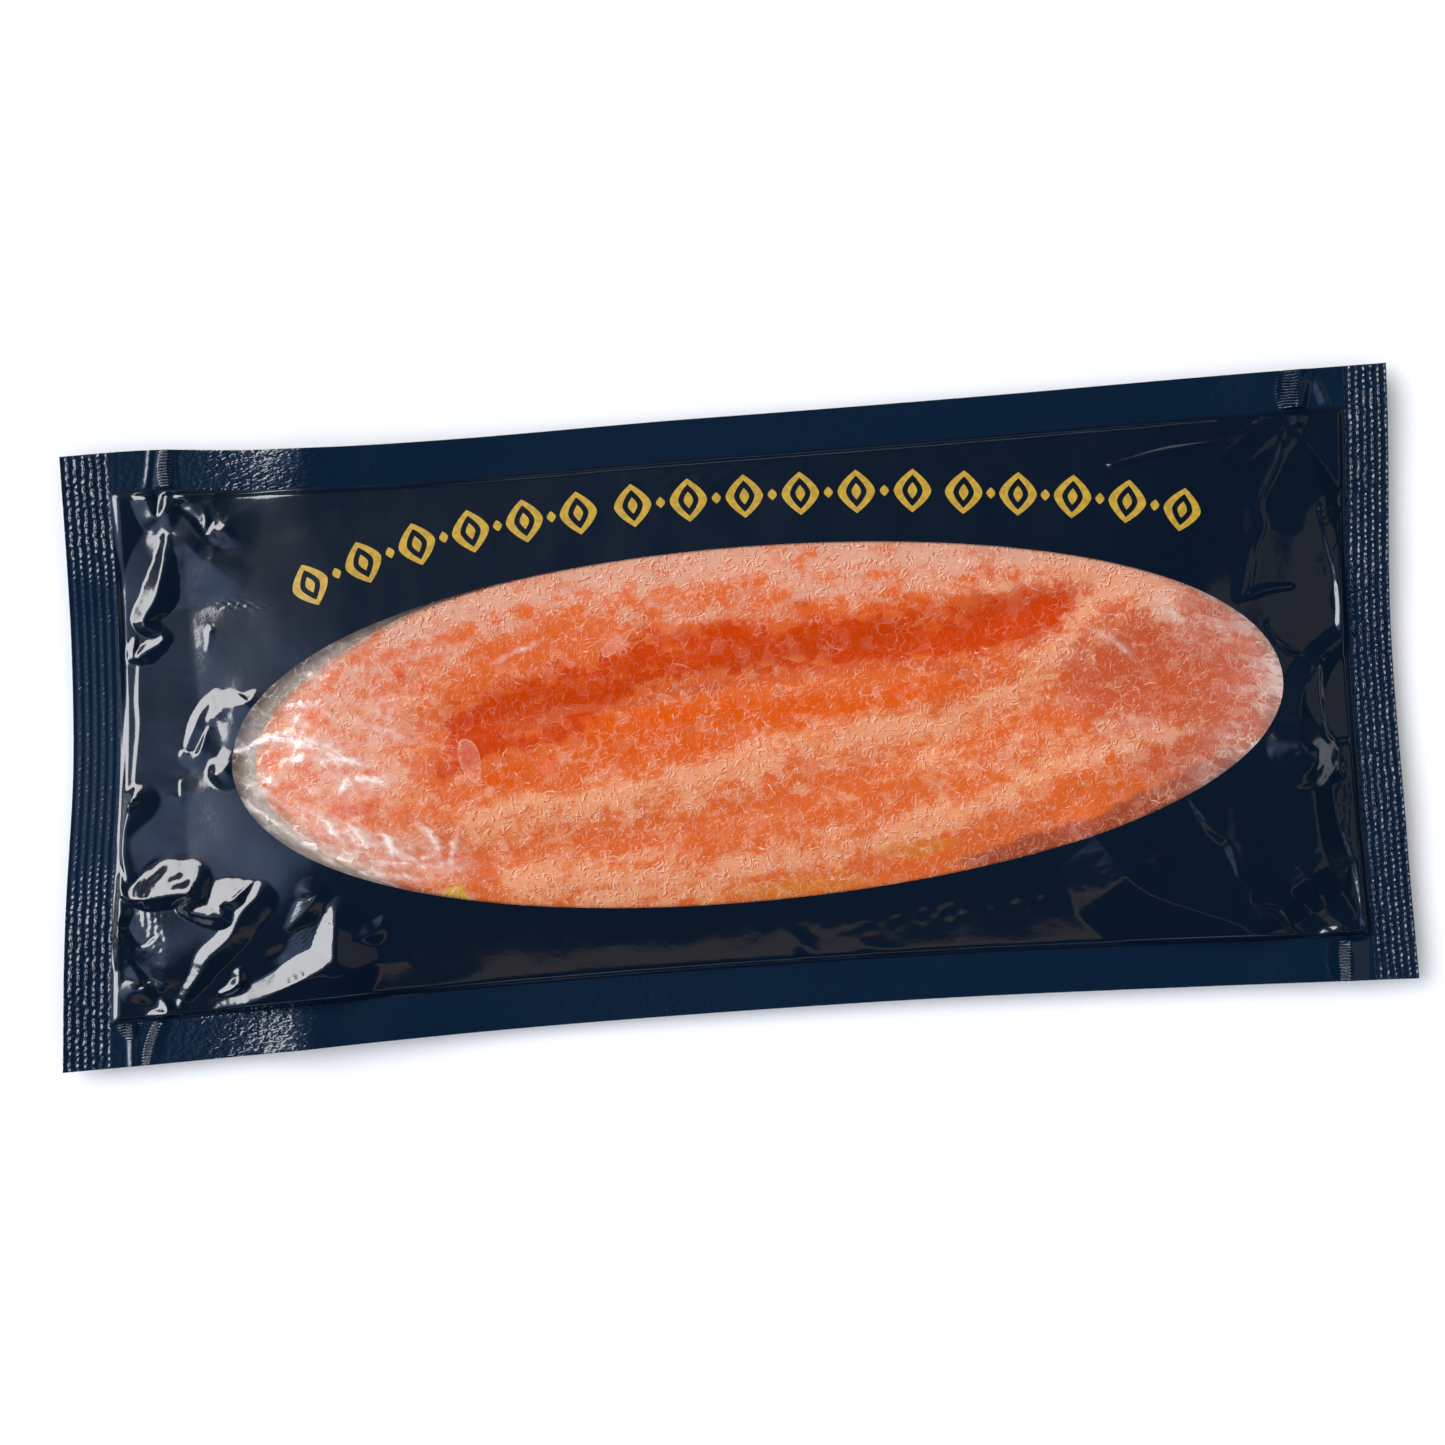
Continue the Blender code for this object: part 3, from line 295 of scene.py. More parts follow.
# Folds: path, heights of the crest along it, and slopes of the faces on its left and right. A negative height
# is a valley.
FOLDS = {
    "end_ridge": (
        (
            (-114.4, 45.6), (-113.8, 45.3), (-116.4, 34.2), (-119.9, 28.3), (-115.7, 24.7), (-122.1, 21.4),
            (-121.9, 24.8),
        ),
        (0.36, 1.04, 1.86, 1.54, 0.69, 1.1, 0.3), 0.42, 0.54,
    ),
    "end_ridge_foot": (
        ((-120.7, 24.1), (-121.9, 13.0), (-122.0, 6.6), (-123.7, -4.1), (-123.7, -7.5)),
        (0.15, 0.2, 0.22, 0.2, 0.15), 0.1, 0.26,
    ),
    "end_ridge_tail": (((-124.4, -8.1), (-127.5, -17.1), (-126.9, -24.9)), (1.3, 0.3, 0.4), 0.19, 0.73),
    "end_barb": (((-122.8, -8.4), (-125.2, -8.8), (-126.1, -9.9)), (0.2, 0.5, 0.4), 0.4, 0.6),
    "end_valley": (
        ((-109.8, 43.4), (-110.1, 32.5), (-109.8, 20.6), (-109.7, 7.9), (-113.0, -6.7), (-114.0, -20.3)),
        (-1.73, -3.01, -2.7, -2.21, -1.44, -1.99), 0.09, 0.11,
    ),
    "crescent_top": (
        ((-114.1, 56.4), (-110.4, 55.5), (-109.3, 53.7), (-107.0, 50.3), (-106.1, 49.5), (-103.0, 49.3)),
        (0.12, 0.77, 1.26, 1.48, 1.52, 0.53), 0.16, 0.15,
    ),
    "crescent_foot": (
        ((-110.3, 52.4), (-110.4, 52.0), (-107.2, 49.3), (-105.6, 46.3), (-103.7, 48.8)),
        (-0.49, -0.63, -0.74, -0.3, -0.19), 0.3, 0.5,
    ),
    "pocket_rim": (
        (
            (-103.3, 52.1), (-101.6, 48.3), (-101.2, 47.4), (-103.7, 42.7), (-104.7, 40.2), (-107.4, 41.5),
            (-109.6, 44.2),
        ),
        (0.45, 0.46, 0.94, 0.21, 1.04, 0.52, 0.49), 0.08, 0.22,
    ),
    "small_core": (
        ((-113.1, 49.9), (-112.7, 46.7), (-112.5, 40.8), (-114.7, 37.7)),
        (0.71, 1.02, 0.87, 0.29), 0.11, 0.16,
    ),
    "pleat_mouth": (
        ((-117.3, 53.8), (-115.9, 50.2), (-114.1, 51.1), (-113.2, 54.7)),
        (1.2, 1.25, 1.5, 0.43), 0.59, 0.37,
    ),
    "squiggle": (((-106.0, 25.4), (-106.5, 21.8), (-106.5, 22.7)), (0.35, 0.12, 0.05), 0.3, 0.6),
    "leaf_upper": (
        ((-97.2, 12.1), (-98.9, 10.0), (-103.7, 9.4), (-104.5, 8.9), (-106.8, 7.5)),
        (0.18, 1.31, 1.43, 1.23, 0.36), 0.11, 0.44,
    ),
    "leaf_stem": (
        ((-105.4, 12.0), (-108.8, 8.9), (-110.4, 5.6), (-112.1, 2.2)),
        (0.43, 0.51, 0.7, 0.34), 0.14, 0.42,
    ),
    "leaf_low": (((-113.3, 0.8), (-110.0, 0.2), (-107.7, 5.1)), (0.28, 0.85, 0.25), 0.95, 0.16),
    "point": (
        ((-103.7, -1.5), (-104.6, -3.4), (-106.9, -4.4), (-108.5, -4.9)),
        (0.44, 1.42, 1.18, 0.02), 0.25, 0.27,
    ),
    "dash": (((-114.1, -5.5), (-114.4, -8.6), (-116.2, -7.7)), (0.19, 0.24, 0.04), 0.07, 0.59),
    "wave": (
        (
            (-129.2, -25.2), (-127.4, -28.4), (-123.9, -29.2), (-118.4, -28.7), (-113.5, -28.8),
            (-114.4, -32.2), (-107.5, -34.0), (-107.2, -31.3), (-104.7, -30.6), (-100.3, -27.1),
        ),
        (0.63, 1.1, 2.55, 2.87, 3.2, 1.5, 2.11, 2.02, 1.78, 0.12), 0.36, 0.94,
    ),
    "crease": (
        (
            (-99.7, -30.4), (-103.1, -33.5), (-105.9, -38.4), (-111.0, -42.7), (-112.9, -45.7),
            (-117.2, -51.0), (-118.9, -56.4),
        ),
        (1.64, 1.83, 1.27, 1.37, 0.9, 0.52, 0.24), 0.38, 0.53,
    ),
    "leaf": (
        (
            (-109.0, -53.1), (-103.7, -52.6), (-97.7, -50.6), (-90.9, -47.9), (-85.3, -45.4), (-84.2, -42.3),
            (-83.5, -34.9),
        ),
        (0.69, 1.86, 2.11, 2.52, 2.9, 2.5, 1.3), 0.56, 0.26,
    ),
    "small_leaf": (
        ((-108.8, -50.1), (-106.4, -49.3), (-104.8, -48.1), (-104.6, -46.2)),
        (0.45, 0.86, 1.45, 0.79), 0.71, 0.68,
    ),
    "patch": (((-88.5, -30.0), (-87.3, -31.6), (-93.4, -37.3)), (0.88, 1.15, 0.26), 0.34, 0.38),
    "streak": (((-80.0, -40.8), (-75.6, -39.2), (-73.6, -37.0)), (0.05, 0.9, 0.3), 0.3, 0.3),
    "web": (
        ((-128.4, -31.9), (-130.3, -35.8), (-125.0, -39.6), (-121.8, -37.7)),
        (1.4, 2.2, 0.5, 0.2), 0.76, 0.1,
    ),
    "web_low": (
        ((-122.2, -32.9), (-119.4, -36.9), (-120.0, -42.0), (-121.7, -49.5)),
        (0.57, 0.81, 0.76, 0.04), 0.07, 0.21,
    ),
    "corner_pocket": (
        ((-127.8, -42.2), (-125.6, -46.5), (-126.8, -48.1), (-120.3, -47.7)),
        (0.4, 0.87, 1.39, 0.04), 0.59, 0.3,
    ),
    "corner_fan": (((-121.4, -50.4), (-120.3, -53.4), (-123.6, -55.3)), (0.23, 1.7, 1.0), 0.79, 0.49),
    "left_bulge": (
        ((-96.4, -50.2), (-88.2, -47.9), (-84.5, -48.2), (-77.3, -46.2), (-70.0, -45.8)),
        (0.31, 2.2, 2.6, 0.9, 0.2), 0.21, 0.09,
    ),
    "right_facet": (
        (
            (124.7, 55.0), (122.4, 50.1), (120.0, 46.9), (116.3, 40.3), (113.2, 39.3), (113.9, 32.4),
            (111.5, 27.2), (108.9, 17.9),
        ),
        (0.36, 0.23, 0.12, 0.19, 0.06, 0.18, 0.42, 0.32), 0.2, 0.21,
    ),
    "right_facet_edge": (
        ((121.1, 52.5), (119.4, 46.0), (114.7, 37.3), (115.1, 32.1), (113.1, 27.3), (111.1, 18.4)),
        (0.12, 0.37, 0.38, 0.35, 0.18, 0.27), 0.95, 0.28,
    ),
    "right_facet_end": (
        ((108.2, 16.8), (109.0, 17.0), (114.3, 18.7), (119.9, 19.1)),
        (0.02, 0.79, 0.62, 0.39), 0.52, 0.84,
    ),
    "top_right_side": (
        ((124.2, 51.1), (127.0, 43.6), (128.4, 34.6), (130.1, 28.6), (127.4, 24.1)),
        (0.14, 0.4, 1.81, 0.13, 0.02), 0.4, 0.07,
    ),
    "right_glint": (
        ((127.0, 34.9), (127.4, 31.8), (128.7, 24.8), (129.4, 22.6), (130.1, 15.2), (129.9, 11.2)),
        (0.41, 0.19, 0.31, 0.49, 0.82, 1.07), 0.13, 0.95,
    ),
    "top_right_pleat": (
        ((118.6, 54.9), (114.1, 52.3), (110.7, 49.8), (106.7, 47.4), (105.8, 44.0)),
        (0.39, 0.34, 0.4, 0.02, 0.02), 0.07, 0.76,
    ),
    "top_right_tuck": (
        ((123.7, 53.6), (120.3, 51.7), (117.1, 49.9), (113.8, 46.7), (112.3, 45.4)),
        (0.47, 0.43, 0.43, 0.02, 0.02), 0.29, 0.12,
    ),
    "top_long_fold": (
        ((84.0, 47.0), (95.8, 49.2), (108.6, 50.8), (116.9, 54.7)),
        (0.41, 0.64, 0.38, 0.28), 0.72, 0.74,
    ),
    "right_triangle": (((114.3, 11.3), (118.0, 7.0), (124.8, 3.9)), (0.28, 0.95, 0.52), 0.18, 0.76),
    "right_brow": (
        ((119.8, 19.3), (122.5, 20.2), (131.8, 21.6), (132.3, 17.5)),
        (0.02, 0.12, 0.42, 0.7), 0.07, 0.14,
    ),
    "right_middle": (
        ((131.3, 8.5), (125.1, 3.8), (120.1, -4.3), (119.9, -10.1), (119.6, -15.3), (128.7, -21.1)),
        (1.02, 1.22, 1.56, 1.94, 2.74, 0.2), 0.36, 0.33,
    ),
    "right_middle_crease": (
        ((124.2, 1.8), (124.1, -4.5), (125.4, -12.8), (129.4, -13.6)),
        (0.49, 1.05, 0.37, 0.4), 0.87, 0.37,
    ),
    "right_lower": (
        (
            (114.4, -12.7), (122.2, -14.8), (121.5, -22.1), (122.1, -34.4), (125.1, -42.8), (127.2, -47.7),
            (131.1, -53.4),
        ),
        (1.71, 2.05, 1.48, 1.95, 1.96, 1.08, 0.11), 0.41, 0.1,
    ),
    "right_lower_side": (
        ((127.2, -21.8), (126.2, -28.5), (129.3, -38.6), (130.2, -47.8), (131.0, -53.8)),
        (0.02, 0.08, 0.88, 0.45, 1.09), 0.07, 0.95,
    ),
    "soft_ridge": (
        ((95.6, -24.2), (100.1, -30.4), (102.8, -32.6), (104.1, -36.3), (104.7, -40.5)),
        (0.29, 0.88, 1.14, 0.86, 0.35), 0.07, 0.58,
    ),
    "right_leaf": (
        (
            (108.5, -38.3), (111.0, -36.9), (112.4, -37.1), (115.2, -38.4), (118.6, -41.3), (122.5, -48.1),
            (125.0, -51.0), (129.0, -54.7),
        ),
        (0.15, 0.35, 0.92, 1.91, 1.22, 0.77, 0.8, 0.1), 0.13, 0.39,
    ),
    "right_leaf_low": (
        ((106.7, -41.7), (106.6, -46.3), (111.8, -47.9), (115.3, -52.3), (117.0, -53.6), (121.9, -58.7)),
        (0.05, 0.1, 0.63, 0.66, 0.15, 0.13), 0.93, 0.77,
    ),
    "long_soft_fold": (
        ((75.0, -30.0), (83.6, -41.1), (95.6, -46.9), (104.6, -50.7), (108.2, -54.9), (114.3, -60.0)),
        (1.76, 3.11, 2.38, 3.18, 3.16, 1.13), 0.19, 0.23,
    ),
    "right_glint_low": (
        ((120.5, -56.0), (120.6, -55.0), (122.6, -53.6), (126.2, -53.4), (125.8, -56.3)),
        (0.02, 0.79, 0.93, 0.65, 0.08), 0.95, 0.55,
    ),
    "lower_jog": (((10.6, -45.2), (12.6, -47.6), (15.6, -52.0)), (0.05, 0.35, 0.2), 0.16, 0.16),
    "lower_jog_right": (((24.0, -47.6), (26.0, -49.6), (34.0, -51.8)), (0.05, 0.2, 0.1), 0.12, 0.12),
}

# Dents: centre, half length, half width, turn in degrees, depth.
DENTS = (
    ((-121.2, -23.8), 3.3, 1.5, 40.0, 0.75),
    ((-115.9, -26.0), 2.6, 1.3, 12.0, 0.55),
    ((-104.6, 33.0), 5.0, 3.0, 20.0, 0.20),
    ((-97.0, -43.0), 3.0, 1.6, 30.0, 0.35),
    ((104.0, 30.0), 6.0, 3.0, -60.0, 0.30),
)

# Patches of fine wrinkles: centre, half length, half width, turn in degrees, height, wavelength.
WRINKLED = (
    ((-99.4, 30.8), 5.0, 1.4, -8.0, 0.10, 1.3),
    ((-105.9, 26.6), 0.7, 0.9, 0.0, 0.14, 0.9),
    ((-88.6, -40.0), 4.0, 4.0, 40.0, 0.05, 1.1),
    ((-122.0, -34.0), 3.0, 6.0, 0.0, 0.07, 1.6),
    ((40.0, -43.6), 26.0, 2.2, 4.0, 0.06, 3.0),
    ((128.0, -24.0), 1.4, 12.0, 0.0, 0.12, 1.4),
    ((-3.0, 50.6), 20.0, 1.6, 2.0, 0.06, 2.6),
)


def spot(x, y, centre, half_length, half_width, degrees):
    """A turned Gaussian spot, 1 at its centre."""
    along, across = turned(x - centre[0], y - centre[1], degrees)
    return np.exp(-((along / half_length) ** 2) - (across / half_width) ** 2)


# The film's faint unevenness: height, wavelength, seed.
UNEVENNESS = ((0.07, 19.0, 3), (0.02, 7.0, 4))
WRINKLE_SEED = 70


def body_relief(x, y):
    """The front film's folds, dents, wrinkles and faint unevenness, faded out at the seals."""
    fade = smooth_step(0.0, FOLD_FADE, nearest_seal(x, y))
    relief = sum(height * ripple(x, y, wavelength, seed) for height, wavelength, seed in UNEVENNESS)
    relief += folds_relief(x, y, FOLDS.values())
    for *where, depth in DENTS:
        relief -= depth * spot(x, y, *where)
    for seed, (*where, height, wavelength) in enumerate(WRINKLED, WRINKLE_SEED):
        relief += height * ripple(x, y, wavelength, seed) * spot(x, y, *where)
    return fade * relief


# The flesh's bands under the film: line, height, half width.
FLESH_BANDS = (
    (((-60.0, 2.0), (-5.0, 6.5), (38.0, 13.8), (78.0, 20.5)), -0.9, 4.0),
    (((-60.0, 24.0), (0.0, 26.0), (40.0, 26.5), (96.0, 18.0)), 0.4, 5.0),
    (((-70.0, -18.8), (-23.0, -13.4), (69.0, 9.6), (97.0, 18.0)), 0.5, 4.5),
    (((-60.0, -26.0), (0.0, -20.0), (60.0, -4.0), (100.0, 4.0)), -0.4, 4.0),
    (((-40.0, -32.0), (20.0, -27.0), (70.0, -18.0), (102.0, -8.0)), 0.4, 4.5),
)
BAND_END_FADE = 2.5
BANDS_FADE = (0.9, 1.15)


def band(x, y, points, half_width):
    """1 on a smooth line and less away from it, as a Gaussian, faded out past the line's ends."""
    centre = smooth_curve(points, x)
    first, last = points[0][0], points[-1][0]
    beyond = np.maximum(0.0, np.maximum(first - x, x - last)) / BAND_END_FADE
    return np.exp(-((y - centre) ** 2 + beyond**2) / half_width**2)


def window_swell(angle):
    """The window's outline as a share of an ellipse: a small egg-shaped change."""
    return 1 + WINDOW_EGG * (np.cos(3 * angle) - np.cos(4 * angle))


def window_reach(x, y):
    """0 at the window's middle and 1 on its edge."""
    dx, dy = x - WINDOW_CENTRE[0], y - WINDOW_CENTRE[1]
    u = (dx * math.cos(WINDOW_TILT) + dy * math.sin(WINDOW_TILT)) / WINDOW_HALF_LENGTH
    v = (-dx * math.sin(WINDOW_TILT) + dy * math.cos(WINDOW_TILT)) / WINDOW_HALF_WIDTH
    return np.hypot(u, v) / window_swell(np.arctan2(v, u))


def front_height(x, y):
    """The front film everywhere inside the seals."""
    height = seal_level(x, y) + SEAL_THICKNESS / 2 + pillow_rise(x, y) + body_relief(x, y)
    over_flesh = 1 - smooth_step(*BANDS_FADE, window_reach(x, y))
    for points, depth, half_width in FLESH_BANDS:
        height = height + over_flesh * depth * band(x, y, points, half_width)
    return height


def window_outline(angle, inset):
    """Points of the window's edge, moved inwards by inset."""
    u = (WINDOW_HALF_LENGTH * window_swell(angle) - inset) * np.cos(angle)
    v = (WINDOW_HALF_WIDTH * window_swell(angle) - inset) * np.sin(angle)
    return (
        WINDOW_CENTRE[0] + u * math.cos(WINDOW_TILT) - v * math.sin(WINDOW_TILT),
        WINDOW_CENTRE[1] + u * math.sin(WINDOW_TILT) + v * math.cos(WINDOW_TILT),
    )


# ---------------------------------------------------------------- meshes
class Skin:
    """Grids of points gathered into one mesh, in millimetres."""

    def __init__(self):
        self.points, self.quads, self.values, self.count = [], [], {}, 0

    def grid(self, x, y, z, closed_round=False, flip=False):
        """One grid and a face between each four neighbours. It can be joined round, last column to first, and
        its faces can be turned over."""
        rows, columns = x.shape
        self.points.append(np.stack([x, y, z], axis=-1).reshape(-1, 3))
        index = self.count + np.arange(rows * columns).reshape(rows, columns)
        if closed_round:
            index = np.concatenate([index, index[:, :1]], axis=1)
        corners = index[:-1, :-1], index[:-1, 1:], index[1:, 1:], index[1:, :-1]
        quads = np.stack(corners, axis=-1).reshape(-1, 4)
        self.quads.append(quads[:, ::-1] if flip else quads)
        self.count += rows * columns

    def ribbons(self, x, y, z):
        """Many narrow grids at once: arrays of rows across each ribbon, ribbons, and stations along them."""
        across, ribbons, stations = x.shape
        self.points.append(np.stack([x, y, z], axis=-1).reshape(-1, 3))
        index = self.count + np.arange(x.size).reshape(across, ribbons, stations)
        corners = index[:-1, :, :-1], index[:-1, :, 1:], index[1:, :, 1:], index[1:, :, :-1]
        self.quads.append(np.stack(corners, axis=-1).reshape(-1, 4))
        self.count += x.size

    def value(self, name, numbers):
        """Point values, given in the order in which the grids' points were."""
        self.values.setdefault(name, []).append(np.ravel(numbers))


def link(name, data):
    """A new object of the scene with this data."""
    made = bpy.data.objects.new(name, data)
    bpy.context.scene.collection.objects.link(made)
    return made


def make_mesh(name, skin, material):
    """One smooth mesh object in metres from the gathered grids, with the grids' own point values."""
    points = np.concatenate(skin.points) * MM
    quads = np.concatenate(skin.quads)
    mesh = bpy.data.meshes.new(name)
    mesh.vertices.add(len(points))
    mesh.vertices.foreach_set("co", points.astype(np.float32).ravel())
    mesh.loops.add(quads.size)
    mesh.loops.foreach_set("vertex_index", quads.astype(np.int32).ravel())
    mesh.polygons.add(len(quads))
    mesh.polygons.foreach_set("loop_start", np.arange(0, quads.size, 4, dtype=np.int32))
    mesh.update(calc_edges=True)
    mesh.shade_smooth()
    for key, parts in skin.values.items():
        numbers = np.concatenate(parts).astype(np.float32)
        mesh.attributes.new(key, "FLOAT", "POINT").data.foreach_set("value", numbers)
    mesh.materials.append(material)
    return link(name, mesh)


WELD_DISTANCE = 0.003
SHARP_DEGREES = 60.0


def weld(made):
    """Joins the grids of one mesh along their shared borders, and keeps its corners sharp."""
    work = bmesh.new()
    work.from_mesh(made.data)
    bmesh.ops.remove_doubles(work, verts=work.verts, dist=WELD_DISTANCE * MM)
    work.to_mesh(made.data)
    work.free()
    made.data.set_sharp_from_angle(angle=math.radians(SHARP_DEGREES))


def around(grid):
    """The border of a grid as one ring: along the first row, up the last column, and back."""
    return np.concatenate([grid[0, :-1], grid[:-1, -1], grid[-1, :0:-1], grid[:0:-1, 0]])


def towards_ends(steps, pull):
    """Shares from 0 to 1 that crowd towards both ends: t - pull * sin(2 pi t) / (2 pi)."""
    t = np.linspace(0.0, 1.0, steps + 1)
    return t - pull * np.sin(TURN * t) / TURN


def over_three(place, low, high, low_seal, high_seal):
    """From low at -1, over a seal to 0, over the body to 1, and over the other seal to high at 2."""
    inner, body = low + low_seal, high - high_seal - low - low_seal
    return np.where(
        place < 0, low + low_seal * (1 + place),
        np.where(place > 1, high - high_seal * (2 - place), inner + body * place),
    )


def pack_place(along, across):
    """Places on the pack. along: -1 to 0 over the left seal, 0 to 1 over the body, 1 to 2 over the right one.
    across: the same from the lower seal to the upper one."""
    nominal = over_three(across, -HALF_WIDTH, HALF_WIDTH, BOTTOM_SEAL, TOP_SEAL)
    left, right = smooth_curve(LEFT_EDGE_X_BY_Y, nominal), smooth_curve(RIGHT_EDGE_X_BY_Y, nominal)
    x = over_three(along, left, right, LEFT_SEAL, RIGHT_SEAL)
    bottom, top = smooth_curve(BOTTOM_EDGE_Y_BY_X, x), smooth_curve(TOP_EDGE_Y_BY_X, x)
    return x, over_three(across, bottom, top, BOTTOM_SEAL, TOP_SEAL)


CRIMP_RIBS = 6
CRIMP_DEPTH = 0.17
# Where the crimp begins and ends, as a share of the way in from the cut edge.
CRIMP_START, CRIMP_END = (0.0, 0.02), (0.97, 1.0)
LEAST_PRESSED = 0.2
RIB_DRIFT, RIB_GRAIN = 0.016, 0.12
UNPRESSED_DEPTH = 0.16
# The dashes on the ribs: length, how far each row's are moved along, and how much they waver.
KNURL_LENGTH = 1.30
KNURL_STAGGER = 0.37
KNURL_WAVER = 1.6
# Stretches of the end seals that were pressed hardest: place along Y, half length, end (1 right, -1 left).
PRESSED = (
    (55.0, 15.0, -1), (-46.0, 19.0, -1),
    (50.0, 17.0, 1), (14.0, 17.0, 1), (-20.0, 19.0, 1), (-50.0, 13.0, 1),
)


def pressed_share(y, side):
    """How hard the crimp was pressed at each place of one end seal, up to 1."""
    share = LEAST_PRESSED + 0 * y
    for centre, half_length, end in PRESSED:
        if end == side:
            share = share + (1 - LEAST_PRESSED) * np.exp(-(((y - centre) / half_length) ** 4))
    return np.clip(share, 0.0, 1.0)


def end_seal_fields(along, y, width):
    """For each place of an end seal: its share of the way in from the cut edge, the same counted in ribs that
    wander a little where the crimp was pressed harder, and how hard it was pressed."""
    left = along < 0
    share = np.where(left, 1 + along, 2 - along)
    pressed = np.where(left, pressed_share(y, -1), pressed_share(y, 1))
    drift = (pressed - LEAST_PRESSED) * RIB_DRIFT * ripple(share * width, y, 3.4, 14, 20)
    return share, CRIMP_RIBS * (share + drift), pressed


def end_seal_relief(share, rib, pressed, y, width):
    """Ribs that run the whole way across the pack, with grains on them where the crimp was pressed harder."""
    plain = smooth_step(*CRIMP_START, share) * (1 - smooth_step(*CRIMP_END, share))
    grains = RIB_GRAIN * ripple(share * width, y, 1.4, 15, 24) * (pressed - LEAST_PRESSED)
    depth = CRIMP_DEPTH * (UNPRESSED_DEPTH + (1 - UNPRESSED_DEPTH) * pressed)
    return -plain * (depth * (0.5 - 0.5 * np.cos(TURN * rib)) + grains)


# Pleats pressed flat into the long seals: a path across the seal, heights, slopes on its left and right.
SEAL_PLEATS = {
    "top_left": (((-112.4, 55.0), (-112.6, 60.0), (-112.2, 64.5)), (0.8, 0.7, 0.6), 0.22, 0.40),
    "top_left_edge": (((-117.8, 54.6), (-116.6, 60.0), (-115.8, 64.5)), (0.3, 0.3, 0.3), 0.40, 0.40),
    "top_right": (((124.0, 56.4), (124.6, 60.0), (125.2, 64.8)), (1.1, 1.1, 1.0), 0.30, 0.60),
    "top_right_fold": (((124.6, 56.5), (127.6, 62.6), (130.6, 56.3)), (0.4, 0.5, 0.4), 0.50, 0.30),
    "bottom_right": (((127.6, -54.8), (127.2, -59.0), (127.0, -64.8)), (1.2, 1.2, 1.1), 0.30, 0.55),
    "bottom_left": (((-121.4, -54.8), (-123.6, -59.4), (-125.0, -64.2)), (0.6, 0.6, 0.5), 0.40, 0.50),
    "bottom_left_side": (((-127.4, -50.4), (-128.0, -55.0), (-128.6, -64.0)), (0.4, 0.5, 0.4), 0.40, 0.45),
}
# Ladders of fine rungs along those pleats: centre, half length, half width, turn in degrees.
RUNGS = (
    ((-112.9, 60.0), 4.6, 1.5, 88.0),
    ((122.2, 60.4), 4.6, 2.3, 85.0),
    ((124.8, -59.6), 4.8, 2.6, 92.0),
    ((-128.6, -54.6), 3.6, 2.4, 90.0),
    ((-124.4, -59.6), 4.6, 1.1, 70.0),
)


def rung_share(x, y):
    """1 on the ladders of the seals' pleats."""
    share = 0 * x
    for ladder in RUNGS:
        share = np.maximum(share, spot(x, y, *ladder) ** 0.5)
    return smooth_step(0.45, 0.75, share)


# Where the long seals' grain is coarse: centre along X on the upper and lower seal, and half length.
LEATHER_UPPER = -94.0
LEATHER_LOWER = -103.0
LEATHER_HALF_LENGTH = 11.0
EMBOSSING = 0.012
EMBOSSING_START, EMBOSSING_END, PLEATS_END = (0.0, 0.05), (0.9, 1.0), (0.92, 1.0)


def leather_share(x, y):
    """1 where the long seals' grain is coarse, near their left ends: a Gaussian along X."""
    centre = np.where(y > 0, LEATHER_UPPER, LEATHER_LOWER)
    return np.exp(-(((x - centre) / LEATHER_HALF_LENGTH) ** 2))


def long_seal_relief(x, y, distance, width):
    """Fine embossing of the plain seals, and the pleats where the film was gathered at the corners."""
    share = distance / width
    plain = smooth_step(*EMBOSSING_START, share) * (1 - smooth_step(*EMBOSSING_END, share))
    relief = plain * EMBOSSING * ripple(x, y, 1.7, 21, 18)
    return relief + folds_relief(x, y, SEAL_PLEATS.values()) * (1 - smooth_step(*PLEATS_END, share))


def slab(name, x, y, relief, values, material):
    """A thin closed sheet of film: an upper and a lower face that follow the same relief, and its edges. The
    values are point values of both faces, and 0 on the edges."""
    level = seal_level(x, y) + relief
    upper, lower = level + SEAL_THICKNESS / 2, level - SEAL_THICKNESS / 2
    skin = Skin()
    skin.grid(x, y, upper)
    skin.grid(x, y, lower, flip=True)
    rim_x, rim_y, rim_upper, rim_lower = (around(grid) for grid in (x, y, upper, lower))
    edges = (rim_x, rim_x), (rim_y, rim_y), (rim_lower, rim_upper)
    skin.grid(*(np.stack(edge) for edge in edges), closed_round=True)
    for key, numbers in values.items():
        for part in (numbers, numbers, np.zeros(2 * rim_x.size)):
            skin.value(key, part)
    made = make_mesh(name, skin, material)
    weld(made)
    return made


# Seals: name, first and last place on the pack's grid, width, and steps across an end seal.
END_SEALS = (("left_end_seal", -1.0, 0.0, LEFT_SEAL, 50), ("right_end_seal", 1.0, 2.0, RIGHT_SEAL, 46))
LONG_SEALS = (("lower_long_seal", -1.0, 0.0, BOTTOM_SEAL), ("upper_long_seal", 1.0, 2.0, TOP_SEAL))
END_SEAL_STATIONS = (28, 340, 26)
LONG_SEAL_STATIONS, LONG_SEAL_PULL = 540, 0.75
LONG_SEAL_ROWS = 27


